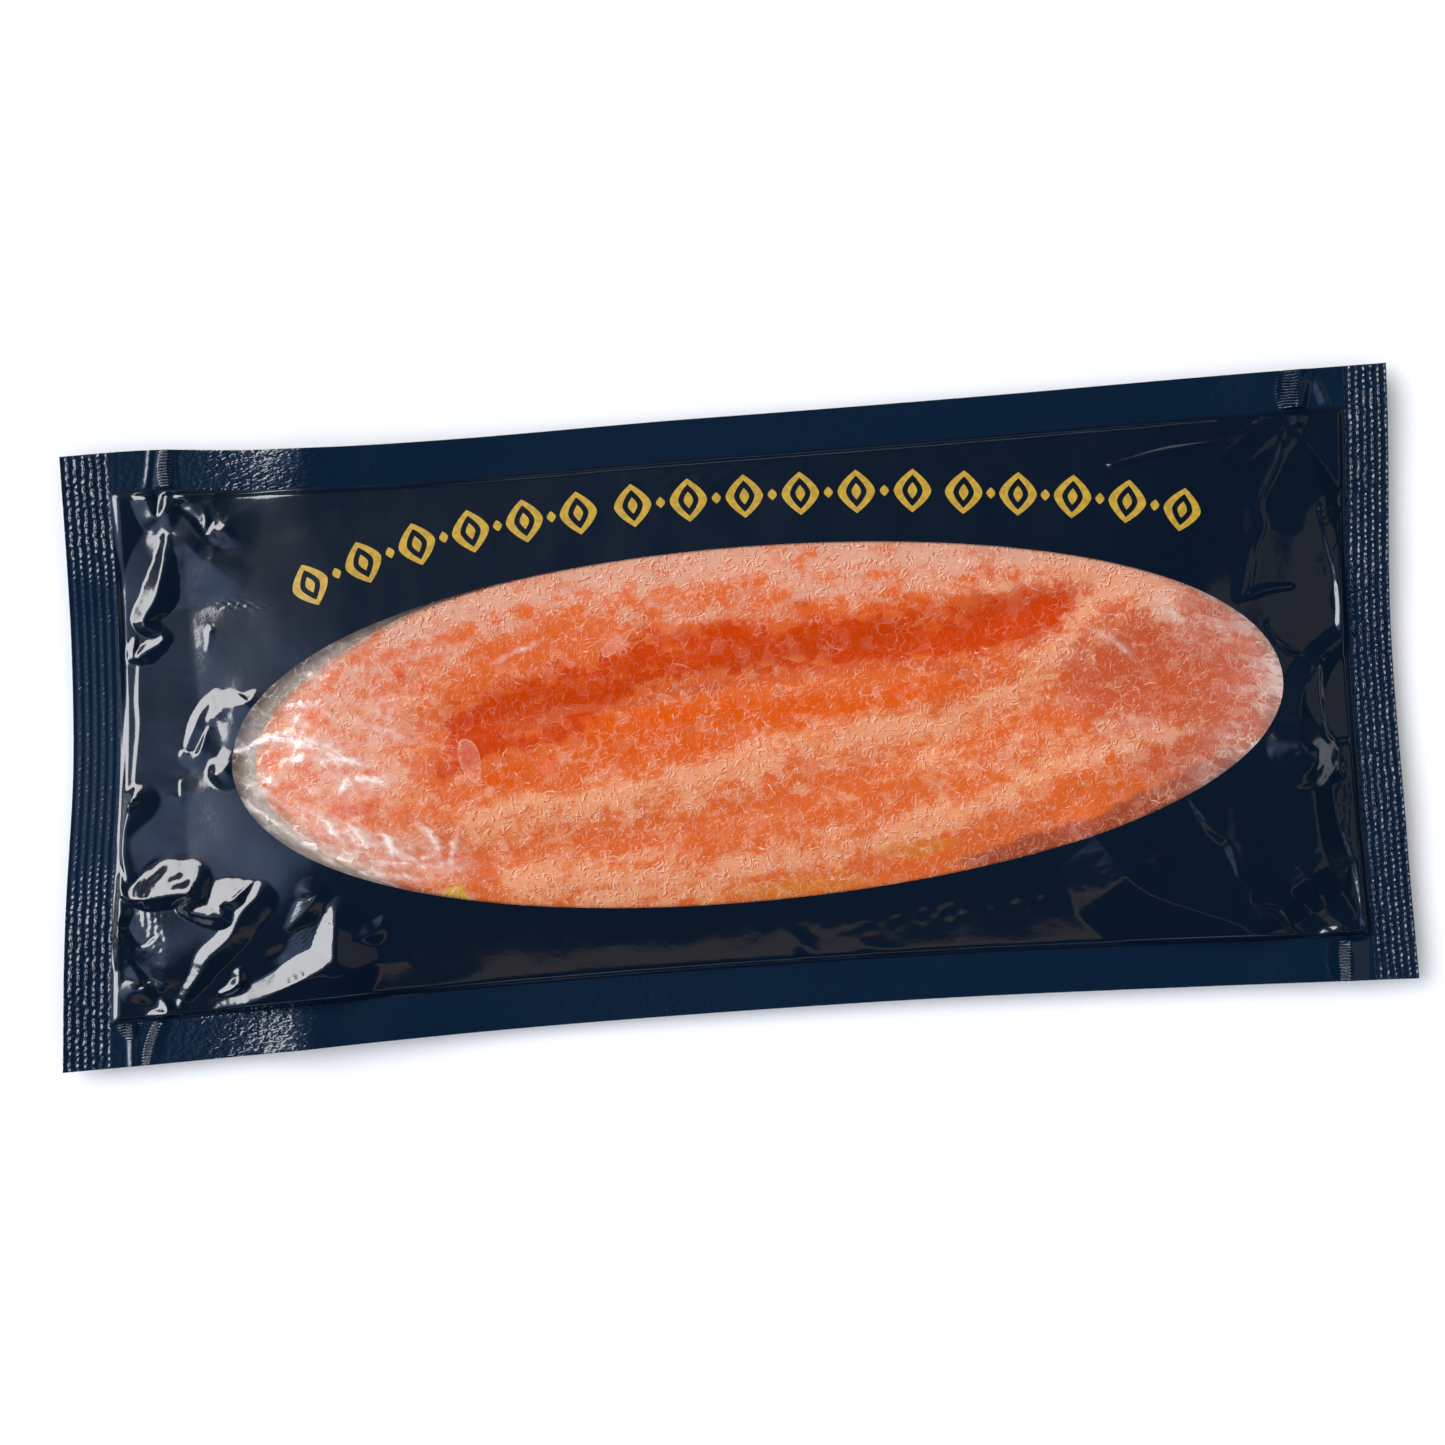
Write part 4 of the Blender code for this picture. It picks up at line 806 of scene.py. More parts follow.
def make_seals(material):
    """The four seals on the pack's grid: the end seals over its whole width, the long ones between them."""
    made = []
    lower, body, upper = END_SEAL_STATIONS
    across_steps = np.concatenate([
        np.linspace(-1, 0, lower), np.linspace(0, 1, body)[1:], np.linspace(1, 2, upper)[1:],
    ])[:, None]
    for name, low, high, width, steps in END_SEALS:
        along = np.linspace(low, high, steps + 1)[None, :] + 0 * across_steps
        x, y = pack_place(along, across_steps + 0 * along)
        share, rib, pressed = end_seal_fields(along, y, width)
        values = {"rungs": 0 * x, "rib": rib, "press": pressed, "leather": 0 * x}
        made.append(slab(name, x, y, end_seal_relief(share, rib, pressed, y, width), values, material))
    for name, low, high, width in LONG_SEALS:
        across = np.linspace(low, high, LONG_SEAL_ROWS)[:, None]
        along = towards_ends(LONG_SEAL_STATIONS, LONG_SEAL_PULL)[None, :] + 0 * across
        x, y = pack_place(along, across + 0 * along)
        distance = width * np.where(across < 0, 1 + across, 2 - across) + 0 * along
        values = {"rungs": rung_share(x, y), "rib": 0 * x, "press": 0 * x, "leather": leather_share(x, y)}
        made.append(slab(name, x, y, long_seal_relief(x, y, distance, width), values, material))
    return made


# The front film's two pieces: name, share of the way in where it starts and ends, and rings. The rings go in
# from the seals' line, which counts as an oval of these half sizes for the angles round the window's centre.
FRONT_PIECES = (("front_film_outer", 0.0, 0.42, 56), ("front_film_inner", 0.42, 1.0, 50))
SEAL_CENTRE_X, SEAL_CENTRE_Y = 132.0, 56.0
FRONT_STEPS, FRONT_PULL = (430, 270), (0.72, 0.25)
BACK_STEPS, BACK_PULL = (180, 80), (0.3, 0.3)


def body_grid(steps, pull):
    """Places over the pack's body, inside the seals."""
    grid = np.meshgrid(towards_ends(steps[0], pull[0]), towards_ends(steps[1], pull[1]))
    return pack_place(*grid)


def make_front_film(material):
    """Rings of film from the seals' inner line in to the window's edge, in an outer and an inner piece."""
    seal_x, seal_y = (around(grid) for grid in body_grid(FRONT_STEPS, FRONT_PULL))
    angle = np.arctan2(
        (seal_y - WINDOW_CENTRE[1]) / (SEAL_CENTRE_Y - WINDOW_CENTRE[1]),
        (seal_x - WINDOW_CENTRE[0]) / (SEAL_CENTRE_X - WINDOW_CENTRE[0]),
    )
    edge_x, edge_y = window_outline(angle - WINDOW_TILT, 0.0)
    made = []
    for name, first, last, rings in FRONT_PIECES:
        share = (1 - np.linspace(first, last, rings + 1))[:, None]
        x = edge_x + (seal_x - edge_x) * share
        y = edge_y + (seal_y - edge_y) * share
        skin = Skin()
        skin.grid(x, y, front_height(x, y), closed_round=True)
        made.append(make_mesh(name, skin, material))
    return made


def make_back_film(material):
    """The back film's height over the body's grid, with its faces turned down."""
    x, y = body_grid(BACK_STEPS, BACK_PULL)
    skin = Skin()
    skin.grid(x, y, back_height(x, y), flip=True)
    return make_mesh("back_film", skin, material)


def oval_grid(columns, rows, inset, crowd):
    """A square grid rounded into the window's shape: x = u*sqrt(1 - v^2/2), y = v*sqrt(1 - u^2/2). Its
    columns are crowded towards the left end by u = t + crowd * (t^2 - 1) / 2."""
    t = np.linspace(-1, 1, columns + 1)
    u, v = np.meshgrid(t + crowd * (t**2 - 1) / 2, np.linspace(-1, 1, rows + 1))
    cx, cy = u * np.sqrt(1 - v**2 / 2), v * np.sqrt(1 - u**2 / 2)
    radius, angle = np.hypot(cx, cy), np.arctan2(cy, cx)
    edge_x, edge_y = window_outline(angle, inset)
    x = WINDOW_CENTRE[0] + (edge_x - WINDOW_CENTRE[0]) * radius
    y = WINDOW_CENTRE[1] + (edge_y - WINDOW_CENTRE[1]) * radius
    return x, y, radius, angle


# Creases of the clear film at the window's left end: the film stands up along them and catches the light.
WINDOW_FOLDS = {
    "streak_upper": (
        ((-98.6, 1.0), (-94.0, 2.3), (-89.8, 2.5), (-86.0, 0.4), (-82.2, -1.2), (-78.2, -3.4), (-75.4, -4.8)),
        (0.2, 0.6, 0.5, 0.7, 0.6, 0.5, 0.1), 0.4, 0.3,
    ),
    "streak_lower": (
        ((-94.0, -1.8), (-90.4, -3.2), (-87.0, -2.0), (-82.8, -3.8), (-78.2, -4.4)),
        (0.1, 0.4, 0.35, 0.45, 0.1), 0.4, 0.34,
    ),
    "streak_thin": (
        ((-91.6, 8.2), (-87.4, 8.9), (-83.4, 8.4), (-81.0, 5.2), (-78.2, 3.5)),
        (0.05, 0.3, 0.3, 0.25, 0.05), 0.42, 0.4,
    ),
    "streak_fork": (
        ((-81.6, -11.0), (-78.4, -7.8), (-74.8, -7.2), (-71.4, -8.6), (-69.0, -9.0)),
        (0.05, 0.35, 0.4, 0.3, 0.05), 0.4, 0.36,
    ),
    "streak_short": (((-98.0, -4.6), (-95.0, -6.2), (-92.4, -9.2)), (0.05, 0.35, 0.05), 0.4, 0.4),
    "finger_one": (
        ((-91.6, -15.6), (-88.0, -18.6), (-84.4, -20.6), (-81.0, -22.4)),
        (0.05, 0.5, 0.4, 0.05), 0.4, 0.44,
    ),
    "finger_two": (
        ((-85.0, -15.0), (-82.4, -18.0), (-80.0, -21.6), (-78.6, -23.6)),
        (0.05, 0.5, 0.45, 0.05), 0.36, 0.46,
    ),
    "finger_three": (((-79.6, -15.8), (-76.8, -19.6), (-75.4, -23.6)), (0.05, 0.5, 0.05), 0.4, 0.5),
    "finger_four": (((-73.4, -17.4), (-71.0, -21.0), (-70.4, -25.8)), (0.05, 0.45, 0.05), 0.4, 0.5),
    "finger_five": (((-66.2, -16.8), (-62.0, -20.6), (-60.8, -25.2)), (0.05, 0.5, 0.05), 0.4, 0.5),
    "finger_six": (((-56.6, -18.2), (-57.6, -22.0), (-59.0, -25.6)), (0.05, 0.45, 0.05), 0.46, 0.4),
    "right_line": (
        ((73.0, 15.4), (76.8, 13.2), (80.1, 11.4), (83.6, 8.6), (86.9, 4.0)),
        (0.05, 0.2, 0.26, 0.2, 0.05), 0.4, 0.4,
    ),
    "middle_line": (
        ((-49.0, 13.6), (-44.6, 15.9), (-40.0, 17.4), (-34.6, 19.4)),
        (0.03, 0.16, 0.2, 0.05), 0.4, 0.4,
    ),
    "rim_low": (
        ((-96.0, -14.0), (-90.0, -18.6), (-82.4, -23.4), (-73.8, -27.0), (-64.6, -29.4)),
        (0.1, 0.5, 0.6, 0.5, 0.1), 0.34, 0.3,
    ),
}
# White haze: at the window's right end, frost where the film is creased too finely to see through; at its
# left end, painted highlights where the crumpled film catches the light. Centre, half length, half width,
# degrees, strength.
HAZE_AND_HIGHLIGHTS = (
    ((-86.0, -0.6), 12.0, 3.4, -18.0, 0.16),
    ((-79.0, -20.0), 14.0, 3.8, -26.0, 0.34),
    ((-64.0, -25.4), 8.0, 2.6, -10.0, 0.36),
    ((-74.0, -8.0), 6.0, 2.4, 4.0, 0.22),
    ((-97.6, -9.0), 2.6, 6.0, 12.0, 0.18),
    ((-70.0, 3.0), 7.0, 4.0, -30.0, 0.2),
    ((-63.0, 19.4), 9.0, 2.0, 22.0, 0.14),
    ((94.6, 15.4), 2.6, 5.4, 24.0, 0.22),
    ((115.0, 1.0), 2.4, 11.0, 8.0, 0.14),
    ((106.0, -18.6), 10.0, 3.0, 42.0, 0.12),
    ((109.0, 15.0), 9.0, 2.0, -46.0, 0.12),
)
STREAK_MARGIN = 5.0
CRUMPLE_DEGREES = -19.0
# Where the clear film begins to be creased and where it is so most: along X, and as the window's reach.
CRUMPLED_LEFT, FROSTED_LEFT = (-44.0, -84.0), (-50.0, -90.0)
FROSTED_RIGHT, FROSTED_RIM = (84.0, 112.0), (0.80, 1.0)
# How its relief, its long creases and its short ones fade out towards its rim, and where the rim is tucked
# under the print, as the window's reach.
CRUMPLE_FADE, STREAK_FADE = (0.93, 0.985), (0.96, 0.99)
CREASE_FADE, TUCK_REACH = (0.955, 0.99), (0.985, 0.995)


def painted_streak_highlight(x, y):
    """1 along the crests of the clear film's long creases: a Gaussian across each, wider where it stands
    higher, with ragged sides. It paints a highlight along the crests, where the creases catch the light."""
    share = np.zeros(np.shape(x))
    ragged = 0.45 * ripple(x, y, 2.4, 45, 20) + 0.25 * ripple(x, y, 1.2, 46, 20)
    for path, heights, *_ in WINDOW_FOLDS.values():
        low, high = np.min(path, axis=0) - STREAK_MARGIN, np.max(path, axis=0) + STREAK_MARGIN
        near = (x > low[0]) & (x < high[0]) & (y > low[1]) & (y < high[1])
        away, side, height = beside_path(x[near], y[near], path, heights)
        across = (away * side + 0.6 * ragged[near] * (0.4 + height)) / (0.28 + 1.35 * height)
        share[near] = np.maximum(share[near], np.exp(-(across**2)) * smooth_step(0.04, 0.3, height))
    return share


def film_crumple(x, y, radius):
    """What only the clear film has: long creases at its left end that run slightly downhill, and a fine
    crinkle."""
    left = smooth_step(*CRUMPLED_LEFT, x)
    along, across = turned(x, y, CRUMPLE_DEGREES)
    crumple = left * (0.09 * ripple(along / 3.0, across, 2.7, 33, 20) + 0.05 * ripple(x, y, 2.4, 34, 20))
    crinkle = 0.035 * ripple(x, y, 3.4, 31, 20) + 0.02 * ripple(x, y, 1.7, 32, 20)
    creases = (1 - smooth_step(*STREAK_FADE, radius)) * folds_relief(x, y, WINDOW_FOLDS.values())
    return (1 - smooth_step(*CRUMPLE_FADE, radius)) * (crumple + crinkle) + creases


FILM_TUCK = 0.03
# The clear film's grid: columns, rows, inset of its edge, and crowding towards the left.
WINDOW_GRID = (440, 156, -0.8, 0.34)


def film_height(x, y, radius):
    """The clear film: the front film's height and its own creases, tucked under the print at its edge."""
    return front_height(x, y) + film_crumple(x, y, radius) - FILM_TUCK * smooth_step(*TUCK_REACH, radius)


def make_window(material):
    """The clear film's height over the window's rounded grid, with its web and its veil of haze and painted
    highlight as point values.
    """
    x, y, radius, _ = oval_grid(*WINDOW_GRID)
    skin = Skin()
    skin.grid(x, y, film_height(x, y, radius))
    frost, veil = window_frost(x, y)
    skin.value("frost", frost)
    skin.value("veil", veil)
    return make_mesh("window_film", skin, material)


def window_frost(x, y):
    """How strongly the film's own web of creases shows, and how white its veil is at each place: haze and
    frost, and painted highlights along the left end's creases and where its crumpled film catches the light.
    """
    reach = window_reach(x, y)
    left_end = smooth_step(*FROSTED_LEFT, x)
    right_rim = smooth_step(*FROSTED_RIGHT, x) * smooth_step(*FROSTED_RIM, reach)
    along, across = turned(x, y, CRUMPLE_DEGREES)
    flecks = smooth_step(0.45, 1.1, ripple(along / 2.6, across, 4.0, 44, 20)) * left_end
    # The veil is frost and haze, and along the left end's long creases and in its left-hand haze spots it is
    # painted highlight, where the crumpled film catches the light.
    veil = 0.06 * left_end + 0.24 * right_rim + 0.16 * flecks + 0.50 * painted_streak_highlight(x, y)
    ragged = 1 + 0.35 * ripple(x, y, 2.6, 43, 20)
    for *where, strength in HAZE_AND_HIGHLIGHTS:
        veil = veil + strength * ragged * spot(x, y, *where)
    fields = flesh_fields(x, y)
    vivid = np.clip(fields["deep"] + 0.5 * fields["bright"], 0, 1)
    frost = (0.10 + 0.14 * left_end + 0.30 * right_rim) * (1 - 0.8 * vivid)
    return np.clip(frost, 0, 1), np.clip(veil, 0, 0.8)


CREASE_COUNT = 1700
CREASE_STATIONS = 6
CREASE_SEED = 91
# A crease's four points across: share of its half width, further lift, and how well each covers.
CREASE_ACROSS = ((-1.0, 0.0, 0.0), (-0.30, 0.012, 1.0), (0.30, 0.012, 1.0), (1.0, 0.0, 0.0))
CREASE_LIFT = 0.05
CREASE_REACH = 0.975
CREASE_LENGTHS = (0.6, 3.6)
# Where the light comes from, as a unit vector of the pack's plan.
LIGHT_FROM = (-0.82, 0.57)


def make_creases(material):
    """Short curled creases all over the clear film. Each is a ribbon along a bent line (its heading turns
    evenly and wavers once), four points wide: faint, dark on the side away from the light, bright on the
    other, faint."""
    draw = np.random.default_rng(CREASE_SEED)
    tries = 4 * CREASE_COUNT
    x = WINDOW_CENTRE[0] + WINDOW_HALF_LENGTH * draw.uniform(-1, 1, tries)
    y = WINDOW_CENTRE[1] + (WINDOW_HALF_WIDTH + 2) * draw.uniform(-1, 1, tries)
    reach = window_reach(x, y)
    fields = flesh_fields(x, y)
    wanted = 0.42 + 0.5 * fields["pale"] - 0.22 * fields["deep"]
    wanted = wanted + 0.25 * smooth_step(-50, -80, x) + 0.3 * smooth_step(90, 112, x)
    clumps = 0.35 * ripple(x, y, 13.0, CREASE_SEED + 1)
    keep = (reach < CREASE_REACH) & (draw.uniform(0, 1, tries) < wanted + clumps)
    x, y, deep = (part[keep][:CREASE_COUNT] for part in (x, y, np.clip(fields["deep"], 0, 1)))
    count = len(x)
    length = np.clip(draw.lognormal(0.30, 0.42, count), *CREASE_LENGTHS) * (1 + 0.5 * deep)
    half_width = draw.uniform(0.16, 0.30, count) * (1 - 0.25 * deep)
    heading = math.radians(FLESH_FLOW_DEGREES) + draw.normal(0.0, 1.0, count)
    bend = draw.normal(0.0, 1.6, count)
    waver = draw.normal(0.0, 0.5, count)
    shine = np.clip(draw.normal(0.52, 0.22, count) * (1 - 0.5 * deep), 0.08, 0.95)
    station = np.linspace(0.0, 1.0, CREASE_STATIONS)[None, :]
    way = heading[:, None] + bend[:, None] * (station - 0.5) + waver[:, None] * np.sin(TURN * station)
    step = length[:, None] / (CREASE_STATIONS - 1)
    middle_x = x[:, None] + np.cumsum(np.cos(way) * step, axis=1)
    middle_y = y[:, None] + np.cumsum(np.sin(way) * step, axis=1)
    rows, back, shows = np.array(CREASE_ACROSS).T[:, :, None, None]
    offset = rows * half_width[:, None] * (0.45 + 0.55 * np.sin(np.pi * station))
    place_x = middle_x - np.sin(way) * offset
    place_y = middle_y + np.cos(way) * offset
    toward_light = -np.sin(way) * LIGHT_FROM[0] + np.cos(way) * LIGHT_FROM[1]
    light = 0.5 + 0.5 * np.clip(1.6 * np.sign(rows) * toward_light + 0.5, -1, 1)
    taper = np.sin(np.pi * (0.08 + 0.84 * station)) * shine[:, None]
    place_reach = window_reach(place_x, place_y)
    inside = 1 - smooth_step(*CREASE_FADE, place_reach)
    height = film_height(place_x, place_y, place_reach) + CREASE_LIFT + back
    skin = Skin()
    skin.ribbons(place_x, place_y, height)
    skin.value("light", light)
    skin.value("cover", shows * taper * inside)
    return make_mesh("film_creases", skin, material)


# Blisters and loose flakes under the film: centre, half length, half width, degrees, how pointed the tip is.
FLAKES = (
    ((-53.2, -5.2), 4.9, 2.6, -80.0, 0.3),
    ((-55.4, -9.0), 1.4, 1.1, 20.0, 0.3),
    ((-20.8, 17.4), 4.6, 2.0, 36.0, 0.85),
    ((-11.6, 4.8), 2.2, 1.2, -20.0, 0.6),
    ((58.0, -11.0), 2.4, 1.6, 30.0, 0.4),
)
BLISTER_STEPS = 56
BLISTER_LIFT = 0.04
BLISTER_LIGHT = 0.80
# An outline's rings from the middle out: share of the half sizes, and how well each ring covers.
BLISTER_RINGS = ((0.03, 0.20), (0.5, 0.18), (0.86, 0.22), (0.93, 0.55), (1.0, 0.0))


def make_flakes(material):
    """Blisters: ovals whose half width falls by pointed * (1 + cos angle) / 2 towards one end, hazy inside
    with a bright outline."""
    skin = Skin()
    angle = np.linspace(0.0, TURN, BLISTER_STEPS, endpoint=False)[None, :]
    share, cover = np.array(BLISTER_RINGS).T[:, :, None] + 0 * angle
    for centre, length, width, degrees, pointed in FLAKES:
        turn = math.radians(degrees)
        u = length * share * (np.cos(angle) + 0.05 * np.sin(3 * angle))
        v = width * share * np.sin(angle) * (1 - pointed * (0.5 + 0.5 * np.cos(angle)))
        x = centre[0] + u * math.cos(turn) - v * math.sin(turn)
        y = centre[1] + u * math.sin(turn) + v * math.cos(turn)
        skin.grid(x, y, film_height(x, y, window_reach(x, y)) + BLISTER_LIFT, closed_round=True)
        skin.value("light", BLISTER_LIGHT + 0 * cover)
        skin.value("cover", cover)
    return make_mesh("film_blisters", skin, material)


FILLET_GRID = (340, 116)
FILM_ABOVE_FLESH = 0.5
FILLET_EDGE_DROP = 2.6
FILLET_SIDE_STEPS = 6
FILLET_BASE = 3.4
FILLET_OVERLAP = 1.2
FILLET_SHORTFALL = 4.6
FILLET_SHORTFALL_ANGLE = math.radians(176.0)
FILLET_SHORTFALL_SPREAD = math.radians(46.0)
FILLET_RIM = (0.955, 1.0)
# Half size of the small hole left in the middle of the fillet's base, as a share of the whole.
BASE_MIDDLE = 0.02


def make_fillet(material):
    """The fillet's top follows the film above it and drops at its rim, most at the left tip, where it falls
    short of the window's edge. Straight sides go down from the rim to a flat base."""
    x, y, radius, angle = oval_grid(*FILLET_GRID, -FILLET_OVERLAP, 0.0)
    turn = (np.mod(angle, TURN) - FILLET_SHORTFALL_ANGLE) / FILLET_SHORTFALL_SPREAD
    gap = np.exp(-(turn**4))
    inward = (FILLET_SHORTFALL + FILLET_OVERLAP) * gap * radius**6
    x, y = x - inward * np.cos(angle), y - inward * np.sin(angle)
    drop = FILLET_EDGE_DROP * smooth_step(*FILLET_RIM, radius) ** 2 * (0.35 + 0.65 * gap)
    top = front_height(x, y) - FILM_ABOVE_FLESH - drop
    skin = Skin()
    skin.grid(x, y, top)
    rim_x, rim_y, rim_z = (around(grid) for grid in (x, y, top))
    base = np.full_like(rim_z, FILLET_BASE)
    level = np.linspace(0.0, 1.0, FILLET_SIDE_STEPS + 1)[:, None]
    skin.grid(rim_x + 0 * level, rim_y + 0 * level, base + (rim_z - base) * level, closed_round=True)
    share = np.linspace(BASE_MIDDLE, 1.0, FILLET_SIDE_STEPS)[:, None]
    skin.grid(
        WINDOW_CENTRE[0] + (rim_x - WINDOW_CENTRE[0]) * share,
        WINDOW_CENTRE[1] + (rim_y - WINDOW_CENTRE[1]) * share,
        base + 0 * share, closed_round=True,
    )
    for name, numbers in flesh_fields(*np.concatenate(skin.points)[:, :2].T).items():
        skin.value(name, numbers)
    return make_mesh("fillet", skin, material)


FLESH_FLOW_DEGREES = 10.0
# Bands of the flesh's colour: line, half width above it, half width below it, how sharp each of the two sides
# is, and strength.
COLOUR_BANDS = {
    "deep": (
        (
            (
                (-54.0, 1.0), (-46.8, 3.6), (-35.7, 5.8), (-25.6, 8.4), (-14.8, 11.8), (-4.0, 13.8),
                (8.4, 13.6), (21.0, 13.4), (33.7, 13.2), (46.4, 13.8), (59.0, 15.4), (70.0, 18.4),
            ),
            6.6, 4.4, 2.2, 4.0, 1.0,
        ),
        (((-56.0, -5.0), (-47.3, -2.6), (-38.8, -0.8), (-31.0, 0.8)), 2.6, 3.0, 2.0, 3.0, 0.85),
    ),
    "bright": (
        (
            ((-26.0, 0.6), (-9.2, 1.4), (3.3, 0.8), (19.2, 0.4), (30.6, 1.4), (43.3, 2.2), (50.7, 3.0)),
            3.4, 4.6, 3.0, 2.0, 1.0,
        ),
        (((-50.0, -9.0), (-30.0, -7.0), (-10.0, -4.0), (4.0, -2.6)), 6.0, 6.5, 2.0, 2.0, 0.7),
        (((20.0, 20.6), (36.0, 21.4), (52.0, 21.0), (66.0, 22.4)), 2.2, 2.6, 2.0, 2.0, 0.7),
        (((-2.0, -15.6), (14.0, -13.6), (34.0, -13.6)), 3.4, 4.0, 2.0, 2.0, 0.55),
    ),
    "pale": (
        (
            (
                (-67.5, 23.0), (-55.8, 26.4), (-40.9, 29.2), (-24.0, 31.2), (-7.2, 32.4), (9.6, 32.6),
                (30.6, 32.0), (46.7, 31.4), (68.0, 27.6), (80.4, 24.0), (92.0, 18.4),
            ),
            9.0, 6.0, 2.0, 2.0, 1.0,
        ),
        (((16.0, 25.6), (30.0, 25.4), (46.0, 25.0), (60.0, 23.6)), 4.0, 3.0, 2.0, 2.0, 0.72),
        (((-64.0, 14.0), (-58.0, 15.0), (-52.0, 19.0), (-44.0, 24.0)), 4.0, 5.0, 1.6, 1.6, 0.6),
        (((-14.0, -12.4), (-4.0, -11.6), (4.0, -11.0)), 3.0, 3.4, 2.0, 2.0, 1.15),
        (
            (
                (-52.4, -16.6), (-39.8, -15.9), (-23.0, -14.0), (-2.4, -10.6), (10.1, -7.0), (23.5, -4.4),
                (43.9, -3.4), (54.6, -0.6), (62.8, 4.2), (67.9, 8.5), (73.1, 14.6), (78.0, 18.6),
            ),
            3.2, 6.4, 1.5, 1.1, 0.96,
        ),
        (
            (
                (-46.0, -30.6), (-24.0, -31.4), (-3.7, -31.6), (11.7, -30.2), (26.9, -28.2), (42.4, -25.2),
                (56.4, -20.5), (67.3, -15.2), (80.2, -11.3), (92.0, -9.8),
            ),
            4.4, 3.0, 1.3, 1.8, 1.0,
        ),
        (((-44.0, -33.0), (-34.0, -33.8), (-14.0, -34.0), (-4.0, -33.6)), 4.4, 6.0, 2.0, 2.0, 0.75),
        (((34.0, -9.0), (46.0, -11.0), (60.0, -10.0)), 5.0, 6.0, 1.6, 1.6, 0.5),
        (((76.0, 21.0), (86.0, 19.6), (94.0, 15.0)), 3.0, 3.4, 2.0, 2.0, 0.7),
        (((-18.0, 21.4), (-6.0, 22.4), (8.0, 21.0), (16.0, 19.6)), 4.6, 2.6, 2.0, 1.6, 0.55),
        (((-70.0, 17.0), (-58.0, 19.0), (-46.0, 22.0)), 6.0, 5.0, 1.4, 1.4, 0.5),
    ),
    # These bands are painted shade: a thin darker line along the flesh's groove, under the deep band.
    "groove_shade": (
        (
            (
                (-44.0, 2.0), (-30.0, 3.8), (-17.3, 5.2), (-4.7, 6.4), (6.9, 7.4), (18.5, 8.0), (26.9, 8.4),
                (37.4, 8.0), (47.8, 7.0), (55.0, 5.6),
            ),
            1.7, 1.5, 3.0, 2.4, 0.9,
        ),
        (((-58.0, 9.0), (-46.0, 10.6), (-36.0, 12.6)), 3.0, 2.4, 2.0, 2.0, 0.5),
    ),
}
# Spots of the same colours: centre, half length, half width, degrees, strength.
COLOUR_SPOTS = {
    "deep": (
        ((-65.7, 13.2), 3.6, 2.2, 0.0, 0.6),
        ((-77.9, -14.1), 5.6, 2.6, -8.0, 0.62),
        ((-57.6, -4.8), 3.0, 4.2, 0.0, 0.75),
        ((-2.3, -28.4), 3.4, 1.2, 12.0, 0.85),
        ((17.0, 22.4), 2.2, 1.8, 0.0, 0.6),
        ((59.0, 13.0), 9.0, 4.0, 30.0, 0.45),
        ((70.0, -28.6), 9.0, 2.0, 14.0, 0.6),
    ),
    "bright": (((-70.0, -13.0), 5.0, 3.0, -10.0, 0.5),),
    "pale": (
        ((-84.0, -1.0), 13.0, 5.0, -18.0, 0.45),
        ((-80.0, -20.0), 15.0, 5.0, -22.0, 0.55),
        ((-70.0, 2.0), 6.0, 5.0, 0.0, 0.4),
        ((-36.0, -26.0), 9.0, 5.0, 0.0, 0.45),
        ((-92.0, 6.0), 6.0, 4.0, 30.0, 0.25),
    ),
}
AMBER_SPOTS = (((40.0, -29.4), 9.0, 2.2, 8.0, 1.0), ((8.0, -36.0), 26.0, 3.4, 0.0, 0.75))
# The yellow fleck: centre, half length and half height, lean, and how sharp its edges are.
YELLOW_FLECK, YELLOW_SIZE, YELLOW_LEAN, YELLOW_SHARP = (-58.6, -32.2), (2.6, 1.5), 0.3, 3
YELLOW_DROP = 0.2
# Places along the pack, across it or of the window's reach where a change begins and where it is full.
PALE_LEFT, ROSY_RIGHT = (-46.0, -78.0), (54.0, 84.0)
CHILL_UPPER, CHILL_LEFT, CHILL_RIGHT = (13.0, 25.0), (-58.0, -80.0), (66.0, 92.0)
LOW_RIM_REACH, LOW_RIM_ALONG, LOW_RIM_ACROSS = (0.86, 0.96), (42.0, 58.0), (-11.0, -22.0)
END_RIM_REACH, END_RIM_ALONG = (0.88, 1.0), (84.0, 104.0)
COLOUR_END_FADE = 4.5


def colour_band(x, y, points, above, below, sharp_above, sharp_below):
    """exp(-(distance / half width)^sharp) on each side of a smooth line, faded out past the line's ends."""
    centre = smooth_curve(points, x)
    first, last = points[0][0], points[-1][0]
    beyond = np.maximum(0.0, np.maximum(first - x, x - last)) / COLOUR_END_FADE
    away = y - centre
    side = np.where(away > 0, (np.abs(away) / above) ** sharp_above, (np.abs(away) / below) ** sharp_below)
    return np.exp(-side - beyond**2)


